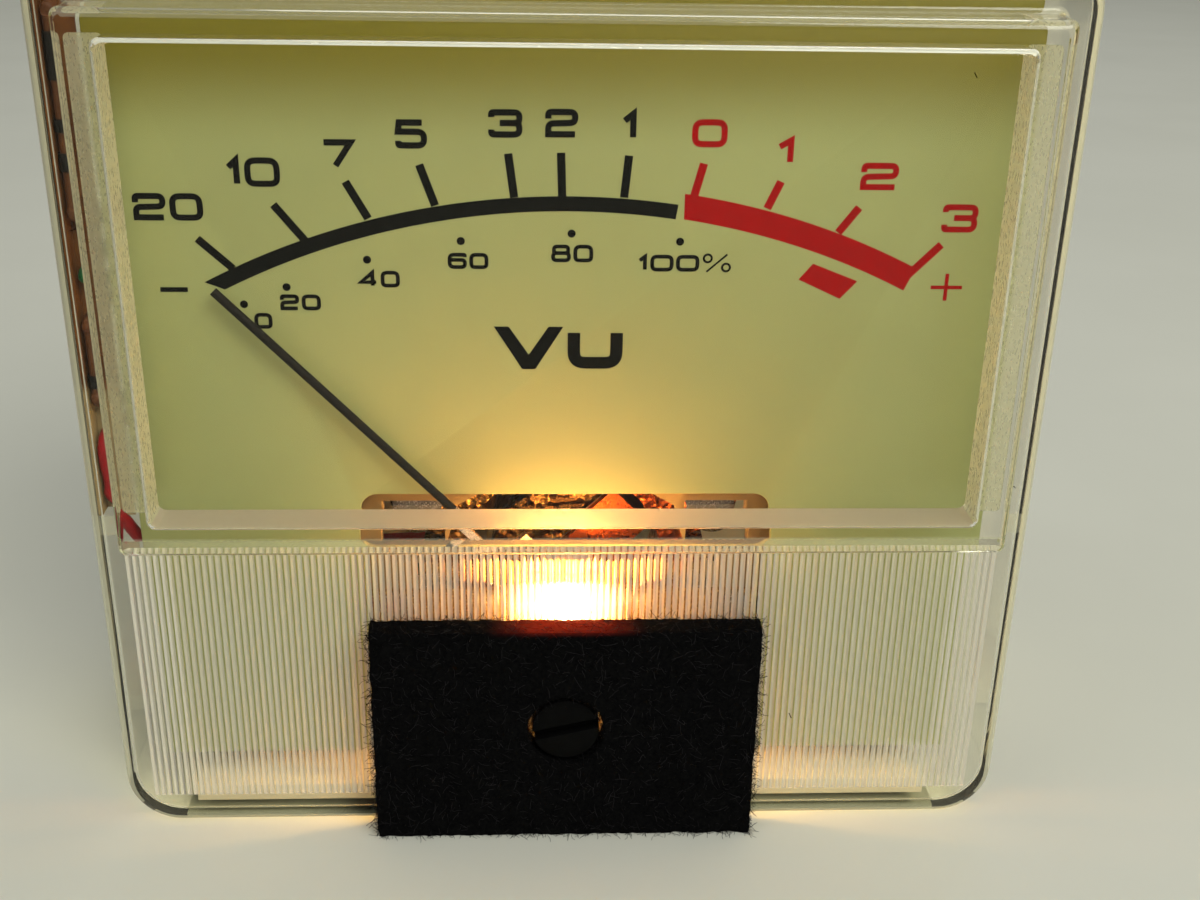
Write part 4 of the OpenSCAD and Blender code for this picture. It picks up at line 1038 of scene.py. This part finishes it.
class Print:
    """Ink on the dial: flat shapes in x and z, a hair in front of the paint."""

    def __init__(self, name, material):
        self.name, self.material = name, material
        self.verts, self.faces, self.shapes = [], [], 0

    def shape(self, points, faces):
        """Adds a flat shape in a plane of its own, so that overlapping strokes don't shade each other."""
        self.shapes += 1
        y = -LAYER * (self.shapes % LAYERS)
        join(self.verts, self.faces, [(point[0], y, point[1]) for point in points], faces)

    def glyph(self, char, left, right, low, high, line):
        w, h = right - left - line, high - low - line
        for stroke in GLYPHS[char]:
            points = [(left + line / 2 + p[0] * w, low + line / 2 + p[1] * h, *p[2:]) for p in stroke]
            self.shape(*ribbon(bent(points, 0.36 * h), line))

    def word(self, text, left, right, low, high, line, gap=0.22):
        """Digits of even width side by side; a 1 is narrower."""
        sizes = [0.45 if c == "1" else 1.0 for c in text]
        unit = (right - left - gap * (len(text) - 1)) / sum(sizes)
        x = left
        for char, size in zip(text, sizes):
            self.glyph(char, x, x + size * unit, low, high, line)
            x += size * unit + gap

    def line(self, a, b, width):
        self.shape(*ribbon([Vector(a), Vector(b)], width))

    def patch(self, corners):
        self.shape([Vector(p) for p in corners], [tuple(range(len(corners)))])

    def disc(self, x, z, radius, steps=20):
        self.patch([(x + radius * math.cos(a), z + radius * math.sin(a)) for a in circle(steps)])

    def ring(self, x, z, outer, inner, steps=20):
        points = [(x + r * math.cos(a), z + r * math.sin(a)) for r in (outer, inner) for a in circle(steps)]
        self.shape(points, [(i, (i + 1) % steps, steps + (i + 1) % steps, steps + i) for i in range(steps)])

    def arc(self, outer, inner, ends, steps=48):
        """A band between two circles (centre x, centre z, radius), from one x to another on each."""
        points = []
        for i in range(steps + 1):
            for (cx, cz, r), (x0, x1) in zip((outer, inner), ends):
                x = x0 + (x1 - x0) * i / steps
                points.append((x, cz + math.sqrt(r * r - (x - cx) ** 2)))
        self.shape(points, strip_faces(steps))

    def done(self):
        """Makes the piece, with all its faces turned to the front."""
        def face_front(bm):
            for face in bm.faces:
                if face.normal.y > 0:
                    face.normal_flip()

        paint = local_box("dial_plate")[0].y - INK_GAP
        mesh = mesh_of(self.name, [(x, paint + y, z) for x, y, z in self.verts], self.faces)
        to_object(self.name, edited(mesh, face_front), self.material)


# Each numeral is (text, left, right, low, high), and each tick has its inner and its outer end
LINE, SMALL_LINE, SMALL_GAP, BOLD_LINE, TICK = 0.40, 0.26, 0.16, 0.85, 0.54
BLACK_TICKS = [((-22.11, 42.94), (-24.27, 44.95)), ((-17.28, 44.86), (-19.18, 47.24)),
               ((-13.1, 46.36), (-14.46, 48.78)), ((-8.72, 47.25), (-9.67, 49.92)),
               ((-3.57, 47.82), (-3.94, 50.68)), ((-0.44, 47.91), (-0.53, 50.77)),
               ((3.61, 47.87), (3.87, 50.62))]
RED_TICKS = [((8.02, 47.3), (8.76, 50.15)), ((13.07, 47.22), (13.87, 49.01)),
             ((17.92, 45.63), (19.18, 47.33)), ((22.74, 42.57), (24.94, 44.86))]
BLACK_NUMERALS = [("20", -28.2, -23.7, 46.15, 47.95), ("10", -22.1, -18.6, 48.4, 50.3),
                  ("7", -15.9, -13.8, 49.6, 51.5), ("5", -11.15, -9.1, 50.95, 52.8),
                  ("3", -5.2, -3.0, 51.7, 53.5), ("2", -1.56, 0.56, 51.75, 53.56),
                  ("1", 3.3, 4.4, 51.6, 53.5)]
RED_NUMERALS = [("0", 7.9, 10.2, 51.2, 53.0), ("1", 13.4, 14.7, 50.1, 51.9), ("2", 19.1, 21.6, 48.5, 50.3),
                ("3", 24.8, 27.2, 45.7, 47.6)]
PERCENT = [("0", -21.0, -19.8, 38.8, 39.9), ("20", -19.2, -16.5, 40.1, 41.2),
           ("40", -13.9, -11.2, 41.7, 42.85), ("60", -8.0, -5.3, 43.0, 44.1),
           ("80", -1.15, 1.65, 43.5, 44.7), ("100", 4.6, 8.75, 42.9, 44.05)]
DOTS = [(-21.6, 40.5), (-18.7, 41.7), (-13.3, 43.6), (-7.1, 44.9), (0.2, 45.45), (7.4, 44.95)]
V_SHAPE = [(-5.0, 39.0), (-4.0, 39.0), (-2.65, 37.0), (-1.3, 39.0), (-0.3, 39.0), (-2.2, 35.95),
           (-3.1, 35.95)]
RED_LABEL = [(15.5, 42.4), (16.4, 43.5), (19.5, 42.3), (18.4, 41.06)]


def black_print():
    """The scale below 0, the percent scale with its sign, the minus sign and the letters VU."""
    ink = Print("print_black", print_black)
    ink.arc((0, -3.92, 51.85), (0, -3.46, 50.40), ((-24.07, 7.2), (-22.76, 7.05)))
    for inner, outer in BLACK_TICKS:
        ink.line(inner, outer, TICK)
    for numeral in BLACK_NUMERALS:
        ink.word(*numeral, LINE)
    for label in PERCENT:
        ink.word(*label, SMALL_LINE, SMALL_GAP)
    for dot in DOTS:
        ink.disc(*dot, 0.27)
    ink.ring(9.3, 43.82, 0.34, 0.19)
    ink.ring(10.55, 43.2, 0.34, 0.19)
    ink.line((9.25, 42.9), (10.6, 44.1), 0.13)
    ink.line((-27.0, 41.5), (-25.2, 41.5), 0.32)
    ink.patch(V_SHAPE)
    ink.glyph("U", 0.0, 3.76, 36.0, 39.0, BOLD_LINE)
    ink.done()


def red_print():
    """The scale from 0 up, the slanted red patch below it and the plus sign."""
    ink = Print("print_red", print_red)
    ink.arc((0.51, -2.26, 50.91), (0.18, -3.22, 50.22), ((7.6, 23.4), (7.6, 22.7)))
    for inner, outer in RED_TICKS:
        ink.line(inner, outer, TICK)
    for numeral in RED_NUMERALS:
        ink.word(*numeral, LINE)
    ink.patch(RED_LABEL)
    ink.line((24.55, 41.9), (26.7, 41.9), 0.25)
    ink.line((25.6, 42.85), (25.6, 40.97), 0.25)
    ink.done()


black_print()
red_print()

# ---- Lamp ----

lamp_low, lamp_high = local_box("lamp_glass")
lamp_mid = (lamp_low + lamp_high) / 2
dial_middle = (0, 2.5, 45)
lamp_light("lamp", (0, lamp_mid.y - 1.0, lamp_mid.z), 1.2, 0.003, (1.0, 0.34, 0.06))
lamp_light("lamp_fan", (0, 0.2, lamp_mid.z), 1.0, 0.010, (1.0, 0.31, 0.05), dial_middle)
